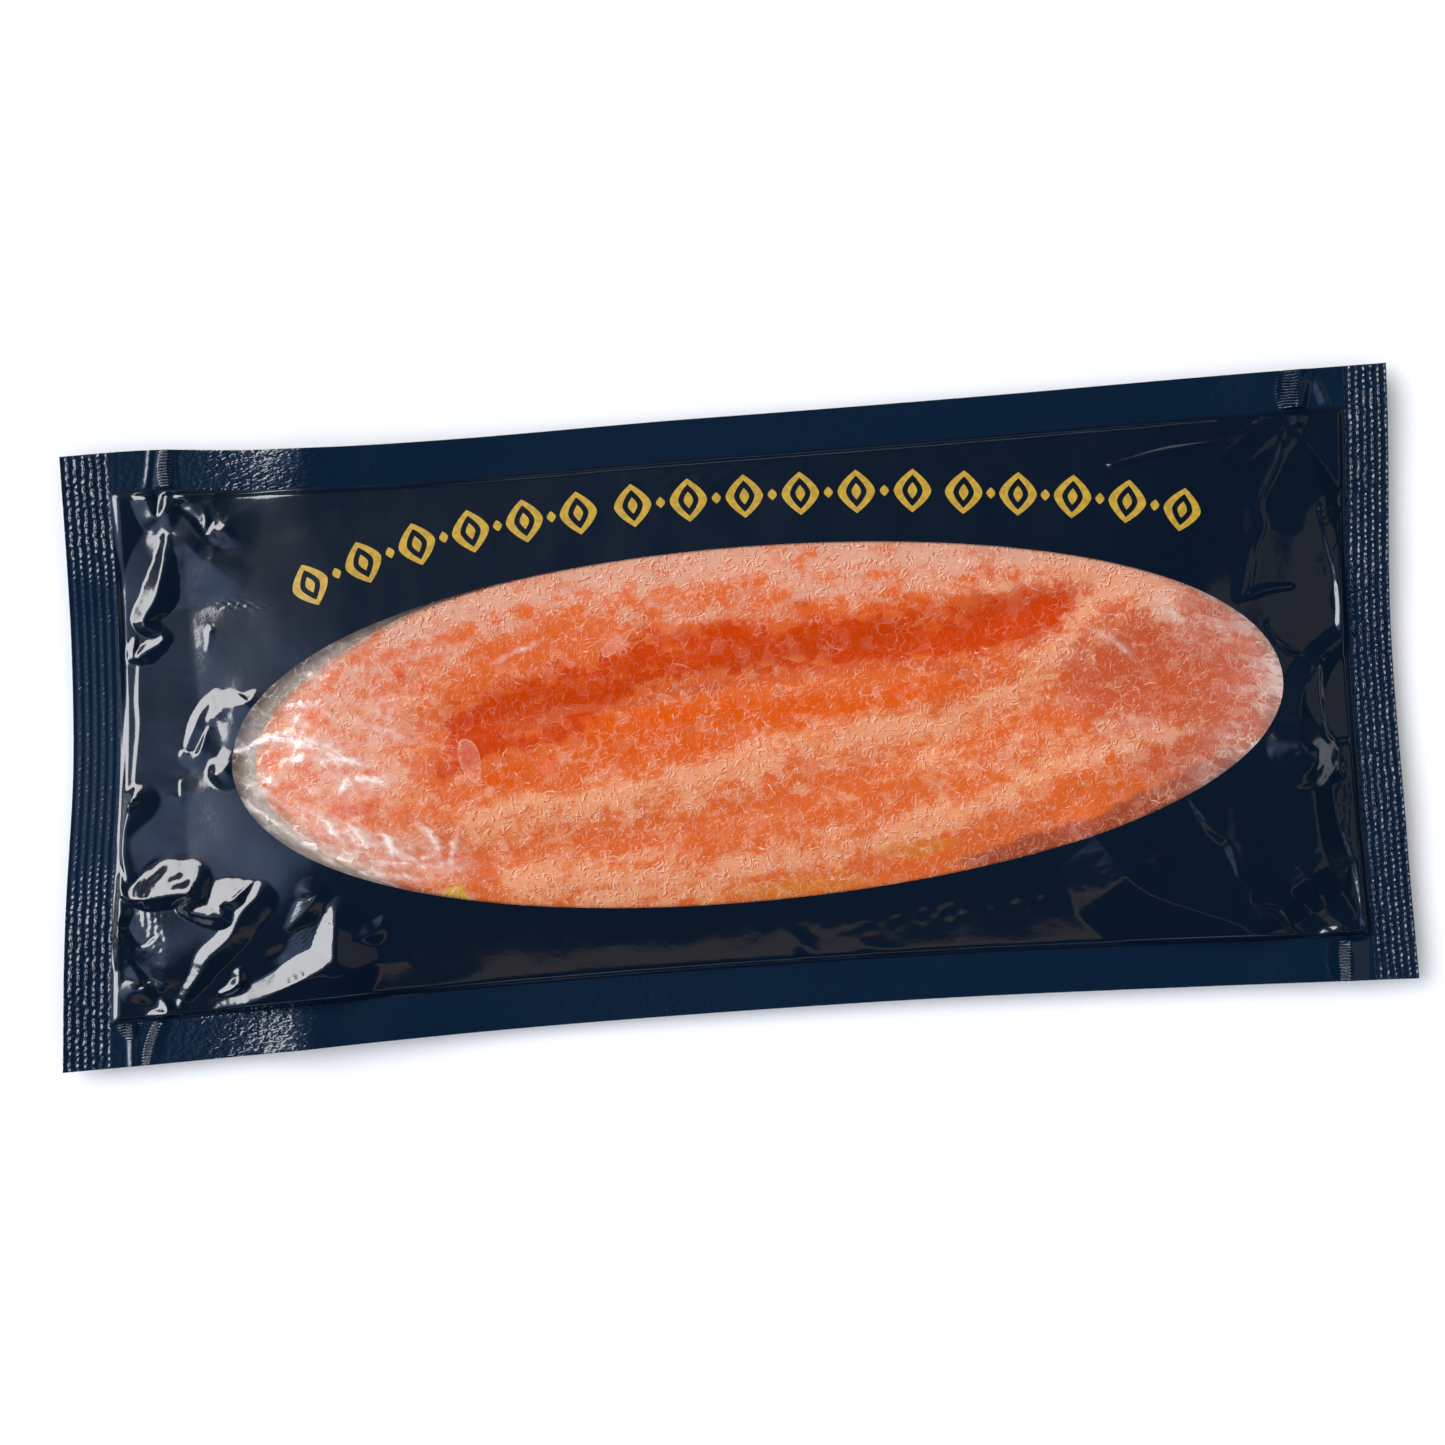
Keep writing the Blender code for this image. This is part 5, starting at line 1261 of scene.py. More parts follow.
def flesh_fields(x, y):
    """Where the flesh is deep orange, bright, pale with fat, rosy, amber or yellow, and where the fat is
    cooler;
    and where shade is painted into its colour: a thin darker line along its groove, and a darker rim where it
    turns down at the window's lower right and right end. Each from 0 to 1."""
    along, across = turned(x, y, FLESH_FLOW_DEGREES)
    wander = 0.8 * ripple(along / 3.0, across, 7.0, 51) + 0.5 * ripple(along / 2.0, across, 3.0, 52)
    swell = 0.16 * ripple(along / 2.0, across, 9.0, 53) - 0.06
    fields = {}
    for name, bands in COLOUR_BANDS.items():
        field = np.zeros_like(x)
        for *shape, strength in bands:
            field = np.maximum(field, strength * colour_band(x, y + wander, *shape) * (1 + swell))
        for *where, strength in COLOUR_SPOTS.get(name, ()):
            field = np.maximum(field, strength * spot(x + wander, y + wander, *where))
        fields[name] = field
    left_end = 0.55 * smooth_step(*PALE_LEFT, x) * (1 - fields["deep"])
    fields["pale"] = np.maximum(fields["pale"], left_end) - 0.30 * fields["deep"]
    fields["rosy"] = smooth_step(*ROSY_RIGHT, x + 0.9 * y) * (1 - 0.5 * fields["pale"])
    chill = smooth_step(*CHILL_UPPER, y - 0.10 * x)
    for end in (CHILL_LEFT, CHILL_RIGHT):
        chill = chill + 0.6 * smooth_step(*end, x)
    fields["chill"] = np.clip(chill, 0, 1)
    reach = window_reach(x, y)
    # The rim field is painted shade: the flesh is drawn darker where it turns down at the window's lower
    # right rim and at its right end.
    low_rim_shade = smooth_step(*LOW_RIM_REACH, reach) * smooth_step(*LOW_RIM_ALONG, x)
    low_rim_shade = low_rim_shade * smooth_step(*LOW_RIM_ACROSS, y)
    end_rim_shade = smooth_step(*END_RIM_REACH, reach) * smooth_step(*END_RIM_ALONG, x)
    fields["rim"] = 1.1 * low_rim_shade + 0.5 * end_rim_shade
    fields["amber"] = np.clip(sum(strength * spot(x, y, *where) for *where, strength in AMBER_SPOTS), 0, 1)
    dx, dy = x - YELLOW_FLECK[0], y - YELLOW_FLECK[1]
    u, v = (dx + YELLOW_LEAN * dy) / YELLOW_SIZE[0], (dy + YELLOW_DROP) / YELLOW_SIZE[1]
    fields["yellow"] = np.exp(-(np.abs(u) ** YELLOW_SHARP) - np.abs(v) ** YELLOW_SHARP)
    return fields


INNER_FACE_ANGLES = (math.radians(80), math.radians(272), 260)
INNER_FACE_INSETS = (-2.5, 14.0, 22)
INNER_FACE_SLOPE = 0.12


def make_inner_face(material):
    """The pale inner side of the pouch that shows past the fillet's left tip."""
    angle, inset = np.meshgrid(np.linspace(*INNER_FACE_ANGLES), np.linspace(*INNER_FACE_INSETS))
    x, y = window_outline(angle, inset)
    z = front_height(x, y) - FILLET_EDGE_DROP - INNER_FACE_SLOPE * inset + 0.15 * ripple(x, y, 3.0, 61)
    skin = Skin()
    skin.grid(x, y, z)
    return make_mesh("pouch_inner_face", skin, material)


# ---------------------------------------------------------------- gold print
PRINT_LINE = (
    (-87.0, 32.6), (-72.2, 37.7), (-60.9, 40.7), (-50.2, 42.5), (-39.9, 43.8), (-29.7, 44.6), (-15.0, 45.6),
    (5.8, 45.9), (29.1, 45.3), (40.0, 44.8), (54.6, 43.3), (75.2, 41.0), (86.4, 39.2), (101.5, 35.8),
)
# Groups of ovals: first place, last place, count.
PRINT_RUNS = ((-84.0, -27.4, 6), (-16.0, 42.4, 6), (53.0, 98.0, 5))
PRINT_LIFT = 0.05
OVAL_POWER = 1.6
# Half width and half height: an oval's outer and inner line, its seed, a dot, and the middle of both.
OUTER_OVAL, INNER_OVAL, SEED, DOT, MIDDLE = (3.9, 4.6), (2.15, 3.35), (1.0, 1.75), (0.95, 1.2), (0.02, 0.03)
OVAL_STEPS, SEED_STEPS = 96, 32


def print_strip(skin, inner, outer, steps=4):
    """A band of print between two closed outlines given as points of the pack's plan."""
    share = np.linspace(0.0, 1.0, steps + 1)[:, None]
    x = inner[0] + (outer[0] - inner[0]) * share
    y = inner[1] + (outer[1] - inner[1]) * share
    skin.grid(x, y, front_height(x, y) + PRINT_LIFT, closed_round=True, flip=True)


def oval_outline(size, steps):
    """A pointed oval: half width times (1 - |v|^power) at each height v."""
    t = np.linspace(0.0, TURN, steps, endpoint=False)
    v = np.sin(t)
    return np.sign(np.cos(t)) * size[0] * (1 - np.abs(v) ** OVAL_POWER), size[1] * v


def on_print_line(centre, u, v):
    """Points drawn upright on the print's arc: u along it and v across it, at a place given by its x."""
    ahead = smooth_curve(PRINT_LINE, np.array(centre + 1.0))
    behind = smooth_curve(PRINT_LINE, np.array(centre - 1.0))
    turn = math.atan2(float(ahead - behind), 2.0)
    y = float(smooth_curve(PRINT_LINE, np.array(centre)))
    return centre + u * math.cos(turn) - v * math.sin(turn), y + u * math.sin(turn) + v * math.cos(turn)


def make_print(material):
    """A row of pointed ovals, each with a seed inside it, and dots between them."""
    skin = Skin()

    def printed(place, inner, outer, steps):
        lines = (on_print_line(place, *oval_outline(size, steps)) for size in (inner, outer))
        print_strip(skin, *lines)

    for first, last, count in PRINT_RUNS:
        places = np.linspace(first, last, count)
        for place in places:
            printed(place, INNER_OVAL, OUTER_OVAL, OVAL_STEPS)
            printed(place, MIDDLE, SEED, SEED_STEPS)
        for place in (places[1:] + places[:-1]) / 2:
            printed(place, MIDDLE, DOT, SEED_STEPS)
    return make_mesh("gold_print", skin, material)


# ---------------------------------------------------------------- materials
NAVY = (0.0006, 0.0050, 0.0140)
NAVY_LIGHT = (0.0008, 0.0066, 0.0180)
NAVY_SEAL = (0.0006, 0.0090, 0.0250)
NAVY_SEAL_LIGHT = (0.0008, 0.0110, 0.0300)
GOLD = (0.52, 0.315, 0.022)
GOLD_DARK = (0.39, 0.235, 0.022)
DEEP_ORANGE = (0.580, 0.058, 0.0010)
BRIGHT_ORANGE = (0.690, 0.112, 0.002)
MID_ORANGE = (0.690, 0.152, 0.028)
PALE_PEACH = (0.830, 0.450, 0.240)
PALE_COOL = (0.690, 0.455, 0.345)
ROSY = (0.590, 0.120, 0.040)
# Painted shade: the thin darker line along the flesh's groove.
GROOVE_SHADE = (0.600, 0.118, 0.030)
# Painted shade: the darker rim where the flesh turns down at the window's edge.
RIM_SHADE = (0.400, 0.085, 0.035)
AMBER = (0.650, 0.210, 0.022)
YELLOW = (0.640, 0.400, 0.020)
WEB_PEACH = (0.800, 0.420, 0.280)
INNER_BEIGE = (0.330, 0.285, 0.220)
INNER_BEIGE_DARK = (0.240, 0.205, 0.155)
INNER_VEIN = (0.480, 0.440, 0.370)
# The clear film's white: its frost and haze, and also the painted highlights of its veil at the left end.
FROST_WHITE = (0.88, 0.72, 0.64)
# The creases' and curls' light and shade colours: painted highlight on the side towards the light, painted
# shade on the other.
CREASE_LIT_WHITE = (0.92, 0.60, 0.45)
CREASE_SHADE = (0.52, 0.100, 0.025)
CURL_LIGHT = (0.92, 0.66, 0.52)
CURL_SHADE = (0.48, 0.075, 0.012)

# Scales of the patterns, in repeats to the metre. The leather is turned by radians, and the curls' light and
# shade are shifted by metres.
FINE_GRAIN, FILM_UNEVEN, FINEST = 900.0, 170.0, 1500.0
LEATHER_GRAIN, LEATHER_TURN, RUNG_SCALE = 640.0, 0.5, 520.0
FILM_STREAK, FILM_CELL, FILM_SHARD = 420.0, 380.0, 520.0
FLESH_STREAK, FLESH_MOTTLE, FLESH_CELL, FLESH_CURL = 420.0, 300.0, 340.0, 430.0
CURL_SHIFT = 0.00014
RIDGE_WIDTH = 0.085
FILM_FLOW_DEGREES = -24.0


class Nodes:
    """A node tree with a short call for each kind of node that the finishes use. An input is a number, a
    colour or place as a tuple, or another node's output."""

    def __init__(self, tree):
        self.tree = tree

    def add(self, kind, inputs=(), **settings):
        """A new node with these settings, and its inputs given as pairs of a name or number and a value."""
        node = self.tree.nodes.new(kind)
        for key, value in settings.items():
            setattr(node, key, value)
        for key, value in inputs:
            self.feed(node.inputs[key], value)
        return node

    def feed(self, socket, value):
        """Links a node's output to the socket, or sets the socket's own number, place or colour."""
        if isinstance(value, bpy.types.NodeSocket):
            self.tree.links.new(value, socket)
        else:
            socket.default_value = (*value, 1.0) if socket.type == "RGBA" else value

    def place(self, scale=(1.0, 1.0, 1.0), turn=0.0, kind="POINT"):
        """Object coordinates through a Mapping node. Its kind TEXTURE stretches the pattern by the scale."""
        place = self.add("ShaderNodeTexCoord").outputs["Object"]
        inputs = ("Vector", place), ("Rotation", (0.0, 0.0, turn)), ("Scale", scale)
        return self.add("ShaderNodeMapping", inputs, vector_type=kind).outputs["Vector"]

    def flow_place(self, stretch, degrees):
        """Object coordinates turned to a grain and stretched along it."""
        return self.place((stretch, 1.0, 1.0), math.radians(degrees), "TEXTURE")

    def noise(self, vector, scale, detail=3.0, roughness=0.5, distortion=0.0, output="Fac"):
        inputs = [("Vector", vector), ("Scale", scale), ("Detail", detail), ("Roughness", roughness)]
        return self.add("ShaderNodeTexNoise", [*inputs, ("Distortion", distortion)]).outputs[output]

    def voronoi(self, vector, scale, feature, output):
        inputs = ("Vector", vector), ("Scale", scale)
        return self.add("ShaderNodeTexVoronoi", inputs, feature=feature).outputs[output]

    def cell_values(self, vector, scale):
        """Three random values, each the same all over a cell."""
        colour = self.voronoi(vector, scale, "F1", "Color")
        return self.add("ShaderNodeSeparateColor", [(0, colour)]).outputs

    def maths(self, operation, *values, clamp=False):
        return self.add("ShaderNodeMath", enumerate(values), operation=operation, use_clamp=clamp).outputs[0]

    def times(self, first, *others, clamp=False):
        for other in others:
            first = self.maths("MULTIPLY", first, other, clamp=clamp)
        return first

    def sum_of(self, amount, part, rest):
        """amount * part + rest"""
        return self.maths("MULTIPLY_ADD", part, amount, rest)

    def off_middle(self, value):
        """|value - 0.5|"""
        return self.maths("ABSOLUTE", self.maths("SUBTRACT", value, 0.5))

    def step(self, value, low, high, to_low=0.0, to_high=1.0):
        """A smooth step from one value to another."""
        inputs = [("Value", value), ("From Min", low), ("From Max", high)]
        inputs += [("To Min", to_low), ("To Max", to_high)]
        return self.add("ShaderNodeMapRange", inputs, interpolation_type="SMOOTHSTEP").outputs["Result"]

    def mix(self, share, first, second):
        inputs = (0, share), (6, first), (7, second)
        return self.add("ShaderNodeMix", inputs, data_type="RGBA").outputs[2]

    def attribute(self, name):
        return self.add("ShaderNodeAttribute", attribute_name=name).outputs["Fac"]

    def vector_maths(self, operation, *values):
        return self.add("ShaderNodeVectorMath", enumerate(values), operation=operation).outputs

    def bump(self, height, strength, distance, normal=None):
        inputs = [("Strength", strength), ("Distance", distance), ("Height", height)]
        if normal is not None:
            inputs.append(("Normal", normal))
        return self.add("ShaderNodeBump", inputs).outputs["Normal"]

    def swirled(self, vector, scale, amount):
        """A place pushed about by noise: place + amount * (noise colour - 0.5)."""
        warp = self.noise(vector, scale, 2.0, output="Color")
        centred = self.vector_maths("SUBTRACT", warp, (0.5, 0.5, 0.5))[0]
        return self.vector_maths("MULTIPLY_ADD", centred, (amount, amount, amount), vector)[0]

    def lit_ridges(self, vector, scale, distortion, shift):
        """Ridges where a distorted noise crosses its middle, as lit from one side: the ridge's height a
        little away from the light less its height a little towards the light."""
        heights = []
        for step in (-shift, shift):
            aside = (step * LIGHT_FROM[0], step * LIGHT_FROM[1], 0.0)
            value = self.noise(self.vector_maths("ADD", vector, aside)[0], scale, 1.0, 0.5, distortion)
            heights.append(self.step(self.off_middle(value), 0.0, RIDGE_WIDTH, 1.0, 0.0))
        return self.maths("SUBTRACT", *heights)


class Finish(Nodes):
    """A material, its nodes and its shader. Settings of the shader are given by its inputs' names."""

    def __init__(self, name):
        self.material = bpy.data.materials.new(name)
        self.material.use_nodes = True
        super().__init__(self.material.node_tree)
        self.shader = self.tree.nodes["Principled BSDF"]

    def shade(self, inputs):
        for key, value in inputs.items():
            self.feed(self.shader.inputs[key], value)


def navy_material():
    """Navy ink under a clear glossy skin: a broad soft sheen below, a sharp reflection above."""
    film = Finish("navy_film_gloss")
    place = film.place()
    normal = film.bump(film.noise(place, FINE_GRAIN, 3.0, 0.7), 0.16, 0.0001)
    normal = film.bump(film.noise(place, FILM_UNEVEN, 2.0), 0.20, 0.0003, normal)
    film.shade({
        "Base Color": film.mix(film.noise(place, 26.0, 2.0), NAVY, NAVY_LIGHT),
        "Roughness": 0.34, "Specular IOR Level": 0.09, "Coat Weight": 1.0, "Coat Roughness": 0.09,
        "Normal": normal, "Coat Normal": normal,
    })
    return film.material


def seal_material():
    """The same film pressed flat: leather-like grain, ladders of rungs on the pleats, and rows of short
    raised dashes on the end seals' ribs. A dash is (0.5 + 0.5 cos(2 pi rib))^2, cut by a cosine along Y."""
    film = Finish("navy_film_sealed")
    place = film.place()
    wave = [("Scale", RUNG_SCALE), ("Distortion", 2.6), ("Detail", 1.0), ("Vector", place)]
    rungs = film.add("ShaderNodeTexWave", wave, bands_direction="Y", wave_profile="SIN").outputs["Fac"]
    ladder = film.times(rungs, film.attribute("rungs"))
    rib = film.attribute("rib")
    crest = film.sum_of(0.5, film.maths("COSINE", film.times(rib, TURN)), 0.5)
    row = film.maths("FLOOR", film.maths("ADD", rib, 0.5))
    y = film.add("ShaderNodeSeparateXYZ", [(0, place)]).outputs["Y"]
    along = film.sum_of(KNURL_STAGGER, row, film.times(y, 1 / (KNURL_LENGTH * MM)))
    along = film.sum_of(KNURL_WAVER, film.noise(place, 260.0, 2.0), along)
    dash = film.step(film.maths("COSINE", film.times(along, TURN)), -0.5, 0.7)
    worn = film.step(film.noise(place, 330.0, 2.0), 0.36, 0.56, 0.35)
    knurl = film.times(film.maths("POWER", crest, 2.0), film.times(dash, worn, film.attribute("press")))
    grain = film.noise(film.place((1.0, 2.0, 1.0), LEATHER_TURN), LEATHER_GRAIN, 1.0, 0.5, 0.8)
    leather = film.sum_of(2.3, film.attribute("leather"), 0.3)
    height = film.sum_of(leather, grain, film.times(ladder, 1.5))
    height = film.sum_of(1.6, knurl, height)
    film.shade({
        "Base Color": film.mix(film.noise(place, 30.0, 2.0), NAVY_SEAL, NAVY_SEAL_LIGHT),
        "Roughness": 0.19, "Normal": film.bump(height, 0.8, 0.00024),
    })
    return film.material


def gold_material():
    """Gold ink with fine darker flecks."""
    ink = Finish("gold_print_ink")
    fleck = ink.step(ink.noise(ink.place(), FINE_GRAIN, 2.0), 0.35, 0.65)
    ink.shade({"Base Color": ink.mix(fleck, GOLD_DARK, GOLD), "Roughness": 0.3})
    return ink.material


def flesh_material():
    """Moist orange flesh: its colour fields broken up by streaks along the grain, by cells where the film
    lies on it and by fine lit curls, with a pale web between the cells."""
    flesh = Finish("trout_flesh_moist")
    place = flesh.place()
    streaks = flesh.noise(flesh.flow_place(4.0, FLESH_FLOW_DEGREES), FLESH_STREAK, 4.0, 0.62)
    mottle = flesh.noise(place, FLESH_MOTTLE, 4.0, 0.62)
    cell_place = flesh.swirled(place, FLESH_STREAK, 0.0032)
    cells = flesh.cell_values(cell_place, FLESH_CELL)
    edge = flesh.voronoi(cell_place, FLESH_CELL, "DISTANCE_TO_EDGE", "Distance")
    centred = [flesh.maths("SUBTRACT", part, 0.5) for part in (
        streaks, mottle, cells[0], flesh.noise(place, FINE_GRAIN, 2.0, 0.6, 1.2),
    )]
    uneven = flesh.maths("ADD", centred[0], centred[1])

    def broken(name, by_noise, by_cell, by_fine, low, high):
        """A colour field with its edges broken up by the three patterns."""
        total = flesh.attribute(name)
        for amount, part in ((by_noise, uneven), (by_cell, centred[2]), (by_fine, centred[3])):
            total = flesh.sum_of(amount, part, total)
        return flesh.step(total, low, high)

    colour = MID_ORANGE
    for name, ink, *amounts in (
        ("bright", BRIGHT_ORANGE, 0.9, 0.35, 0.2, 0.25, 0.85), ("rosy", ROSY, 0.5, 0.15, 0.1, 0.20, 0.85),
        ("amber", AMBER, 1.2, 0.30, 0.3, 0.25, 0.80), ("deep", DEEP_ORANGE, 1.0, 0.60, 0.1, 0.15, 0.75),
        # This field paints shade into the colour: the darker line along the flesh's groove.
        ("groove_shade", GROOVE_SHADE, 0.8, 0.20, 0.3, 0.30, 0.95),
    ):
        colour = flesh.mix(broken(name, *amounts), colour, ink)
    pale = flesh.times(broken("pale", 1.5, 0.45, 1.0, 0.08, 0.98), 0.78)
    colour = flesh.mix(pale, colour, flesh.mix(flesh.attribute("chill"), PALE_PEACH, PALE_COOL))
    colour = flesh.mix(broken("yellow", 0.8, 0.0, 0.0, 0.35, 0.65), colour, YELLOW)
    # The rim field paints shade into the colour where the flesh turns down at the window's edge.
    colour = flesh.mix(broken("rim", 0.9, 0.3, 0.3, 0.30, 0.75), colour, RIM_SHADE)

    vivid = flesh.sum_of(0.5, flesh.attribute("bright"), flesh.attribute("deep"))
    calm = flesh.step(vivid, 0.1, 0.9, 1.0, 0.25)
    calmer = flesh.step(calm, 0.25, 1.0, 0.45, 1.0)
    film = flesh.times(flesh.step(cells[1], 0.62, 0.84, 0.0, 0.30), flesh.step(mottle, 0.42, 0.58), calmer)
    colour = flesh.mix(film, colour, WEB_PEACH)
    patches = flesh.step(flesh.noise(place, 150.0, 2.0), 0.42, 0.64)
    web = flesh.times(flesh.step(edge, 0.0, 0.048, 0.74, 0.0), patches, calmer)
    colour = flesh.mix(web, colour, WEB_PEACH)

    shown = flesh.step(flesh.noise(place, 620.0, 1.0), 0.40, 0.56)
    strength = flesh.times(flesh.sum_of(1.0, pale, 0.36), shown, calm)
    curls = flesh.times(flesh.lit_ridges(place, FLESH_CURL, 1.3, CURL_SHIFT), strength)
    for side, ink in ((1.0, CURL_LIGHT), (-1.0, CURL_SHADE)):
        colour = flesh.mix(flesh.times(curls, side, clamp=True), colour, ink)
    flesh.shade({
        "Base Color": colour, "Roughness": 0.6, "Specular IOR Level": 0.0,
        "Normal": flesh.bump(mottle, 0.25, 0.0004),
    })
    return flesh.material


def inner_face_material():
    """Dull beige film with fine pale cracks."""
    film = Finish("pale_inner_film")
    place = film.place()
    cloud = film.step(film.noise(place, FLESH_MOTTLE, 4.0, 0.6, 0.8), 0.3, 0.7)
    beige = film.mix(cloud, INNER_BEIGE_DARK, INNER_BEIGE)
    crack = film.off_middle(film.noise(place, FINE_GRAIN, 2.0, 0.5, 1.5))
    vein = film.step(crack, 0.0, 0.03, 0.45, 0.0)
    film.shade({"Base Color": film.mix(vein, beige, INNER_VEIN), "Roughness": 0.5})
    return film.material


def window_material():
    """Clear film: see-through, with a white haze that is in part a painted highlight at the window's left
    end, and a web of fine creases, and a gloss that grows at grazing angles."""
    film = Finish("clear_film_creased")
    place = film.place()
    edge = film.voronoi(film.swirled(place, FILM_CELL, 0.0040), FILM_CELL, "DISTANCE_TO_EDGE", "Distance")
    web = film.step(edge, 0.0, 0.07, 1.0, 0.0)
    lines = film.times(web, film.step(film.noise(place, 210.0, 2.0), 0.46, 0.64), film.attribute("frost"))
    grain = film.flow_place(2.4, FILM_FLOW_DEGREES)
    streaks = film.noise(grain, FILM_STREAK, 2.0, 0.6)
    shards = film.cell_values(film.swirled(grain, 300.0, 0.003), FILM_SHARD)
    tone = film.times(shards[0], film.step(streaks, 0.36, 0.60, 0.4, 1.2))
    # The veil's white is partly haze and partly painted highlight, at the window's left end.
    haze = film.times(film.attribute("veil"), film.step(tone, 0.15, 0.75, 0.45, 1.5))
    normal = film.bump(film.maths("ADD", film.times(web, 0.6), streaks), 0.16, 0.0002)
    film.shade({"Base Color": FROST_WHITE, "Roughness": 0.3, "Normal": normal})
    white = film.maths("ADD", lines, haze, clamp=True)
    clear = film.add("ShaderNodeBsdfTransparent").outputs[0]
    body = film.add("ShaderNodeMixShader", [(0, white), (1, clear), (2, film.shader.outputs[0])]).outputs[0]
    gloss = film.add("ShaderNodeBsdfGlossy", [("Roughness", 0.10), ("Normal", normal)]).outputs[0]
    grazing = film.add("ShaderNodeFresnel", [("IOR", 1.5), ("Normal", normal)]).outputs[0]
    skin = film.add("ShaderNodeMixShader", [(0, grazing), (1, body), (2, gloss)]).outputs[0]
    film.feed(film.tree.nodes["Material Output"].inputs["Surface"], skin)
    return film.material


def crease_material():
    """Creased clear film: white on the side towards the light, a warm shade on the other, see-through at its
    edges."""
    film = Finish("film_crease")
    worn = film.step(film.noise(film.place(), FINEST, 2.0), 0.3, 0.6, 0.55, 1.0)
    film.shade({
        "Base Color": film.mix(film.attribute("light"), CREASE_SHADE, CREASE_LIT_WHITE),
        "Roughness": 0.3, "Specular IOR Level": 0.0, "Alpha": film.times(film.attribute("cover"), worn),
    })
    return film.material


# ---------------------------------------------------------------- stage
FLOOR_HALF = 6.0
FLOOR_Z = -0.0002
# Soft daylight without a glint of its own: name, strength, width in degrees, polar angle, azimuth.
DAYLIGHT = (("soft_side_light", 2.1, 50.0, 42.0, 150.0), ("soft_top_light", 1.9, 120.0, 8.0, 300.0))
# Flat lights that are seen only in the film: name, polar angle, azimuth, width, height, radiance, colour.
CARDS = (
    ("side_softbox", 58.0, 150.0, 1.85, 0.72, 11.0, (1.0, 1.0, 1.0)),
    ("lower_card", 47.5, 268.0, 1.7, 0.17, 0.52, (1.0, 0.76, 0.40)),
    ("right_card", 46.0, 2.0, 1.0, 0.60, 0.30, (1.0, 0.84, 0.60)),
)
CARD_DISTANCE = 1.3
# The dim room: its colour, and two glows in it as polar angle, azimuth, half width and colour.
ROOM = (0.020, 0.026, 0.040)
GLOWS = ((36.0, 178.0, 34.0, (0.74, 1.00, 1.62)), (34.0, 135.0, 30.0, (0.12, 0.13, 0.17)))


def direction(polar, azimuth):
    """A unit vector: the polar angle is from straight up and the azimuth from +X, both in degrees."""
    p, a = math.radians(polar), math.radians(azimuth)
    return math.sin(p) * math.cos(a), math.sin(p) * math.sin(a), math.cos(p)


def make_floor():
    """A wide, plain pale floor just under the pack."""
    finish = Finish("pale_floor")
    finish.shade({"Base Color": (0.93, 0.93, 0.93), "Roughness": 0.9, "Specular IOR Level": 0.0})
    mesh = bpy.data.meshes.new("floor")
    half = FLOOR_HALF
    corners = [(-half, -half, 0), (half, -half, 0), (half, half, 0), (-half, half, 0)]
    mesh.from_pydata(corners, [], [(0, 1, 2, 3)])
    mesh.materials.append(finish.material)
    floor = link("floor", mesh)
    floor.location.z = FLOOR_Z


def make_lights():
    """Each light's strength is its radiance times pi times its area."""
    for name, energy, degrees, polar, azimuth in DAYLIGHT:
        sun = bpy.data.lights.new(name, "SUN")
        sun.energy = energy
        sun.angle = math.radians(degrees)
        lamp = link(name, sun)
        lamp.rotation_euler = (math.radians(polar), 0.0, math.radians(azimuth + 90.0))
        lamp.visible_glossy = False
    for name, polar, azimuth, width, height, radiance, colour in CARDS:
        light = bpy.data.lights.new(name, "AREA")
        light.shape = "RECTANGLE"
        light.size, light.size_y = width, height
        light.energy = radiance * math.pi * width * height
        light.color = colour
        lamp = link(name, light)
        lamp.location = [CARD_DISTANCE * part for part in direction(polar, azimuth)]
        lamp.rotation_euler = (math.radians(polar), 0.0, math.radians(azimuth + 90.0))
        lamp.visible_camera = lamp.visible_diffuse = False


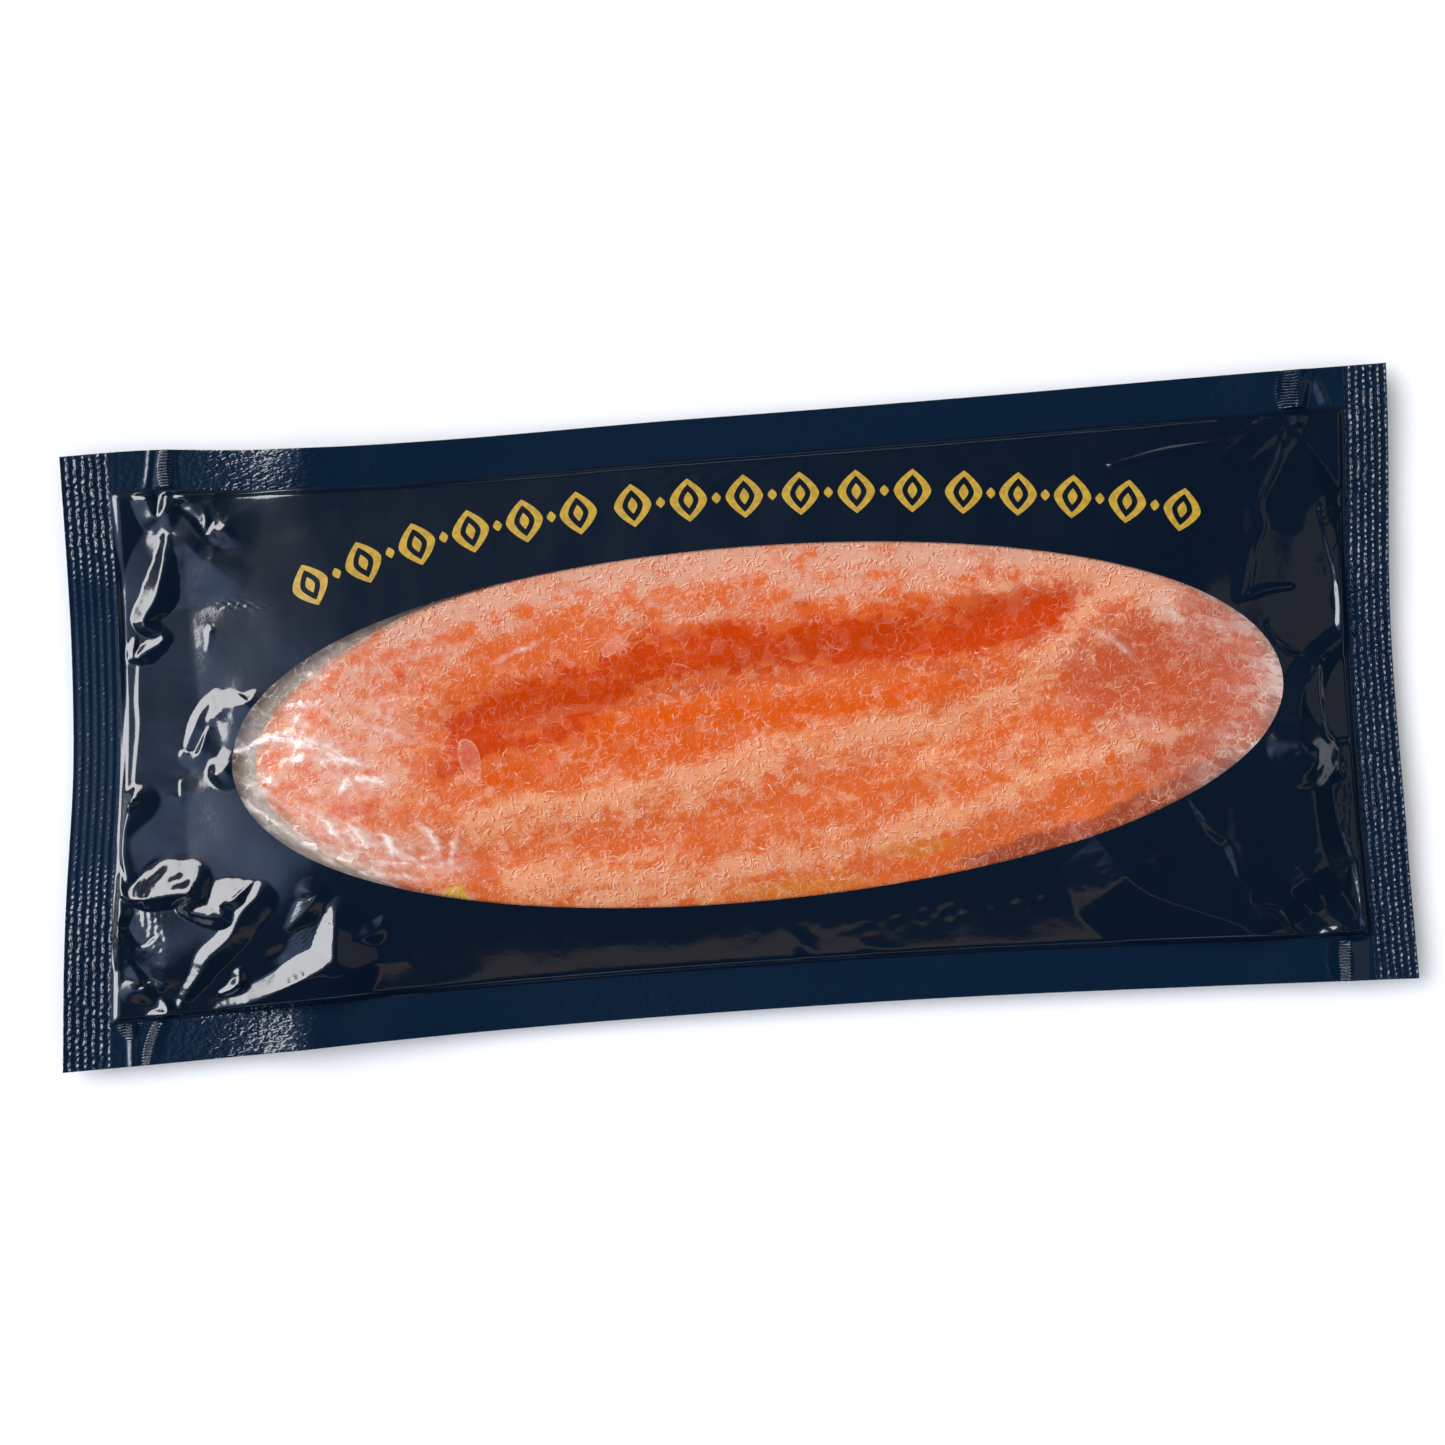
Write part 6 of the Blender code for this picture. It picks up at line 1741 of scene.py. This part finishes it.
def make_world():
    """A dim room with two soft glows, white where the camera sees it directly."""
    world = bpy.data.worlds.new("dim_room")
    bpy.context.scene.world = world
    world.use_nodes = True
    room = Nodes(world.node_tree)
    ray = room.add("ShaderNodeTexCoord").outputs["Generated"]
    colour = ROOM
    for polar, azimuth, spread, glow in GLOWS:
        toward = room.vector_maths("DOT_PRODUCT", ray, direction(polar, azimuth))["Value"]
        colour = room.mix(room.step(toward, math.cos(math.radians(spread)), 1.0), colour, glow)
    dim = room.tree.nodes["Background"]
    room.feed(dim.inputs["Color"], colour)
    seen = room.add("ShaderNodeBackground", [("Color", (1.0, 1.0, 1.0))]).outputs[0]
    by_camera = room.add("ShaderNodeLightPath").outputs["Is Camera Ray"]
    mixed = room.add("ShaderNodeMixShader", [(0, by_camera), (1, dim.outputs[0]), (2, seen)]).outputs[0]
    room.feed(room.tree.nodes["World Output"].inputs["Surface"], mixed)


def make_camera():
    """Straight above the pack, turned so that the pack lies as in the picture."""
    data = bpy.data.cameras.new("camera")
    data.lens, data.sensor_width = LENS, SENSOR
    camera = link("camera", data)
    dx = PICTURE_PIXELS / 2 - PACK_CENTRE_PIXEL[0]
    dy = PICTURE_PIXELS / 2 - PACK_CENTRE_PIXEL[1]
    x = MM_PER_PIXEL * (dx * math.cos(PACK_TURN) - dy * math.sin(PACK_TURN))
    y = MM_PER_PIXEL * (-dx * math.sin(PACK_TURN) - dy * math.cos(PACK_TURN))
    distance = PICTURE_PIXELS * MM_PER_PIXEL * LENS / SENSOR
    camera.location = (x * MM, y * MM, (distance + SEAL_LEVEL) * MM)
    camera.rotation_euler = (0.0, 0.0, -PACK_TURN)
    bpy.context.scene.camera = camera
    bpy.context.scene.view_settings.view_transform = "Standard"


def main():
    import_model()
    navy, sealed = navy_material(), seal_material()
    pouch_pieces = [
        *make_front_film(navy), make_back_film(navy), *make_seals(sealed),
        make_inner_face(inner_face_material()),
    ]
    gold = make_print(gold_material())
    clear_pieces = [make_window(window_material())]
    crease = crease_material()
    clear_pieces += [make_creases(crease), make_flakes(crease)]
    fillet = make_fillet(flesh_material())
    for piece in pouch_pieces:
        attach(piece, "root")
        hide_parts("pouch")
    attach(gold, "root")
    for piece in clear_pieces:
        piece.visible_shadow = False
        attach(piece, "root")
        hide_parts("clear_window")
    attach(fillet, "root")
    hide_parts("trout_fillet")
    make_floor()
    make_lights()
    make_world()
    make_camera()


main()
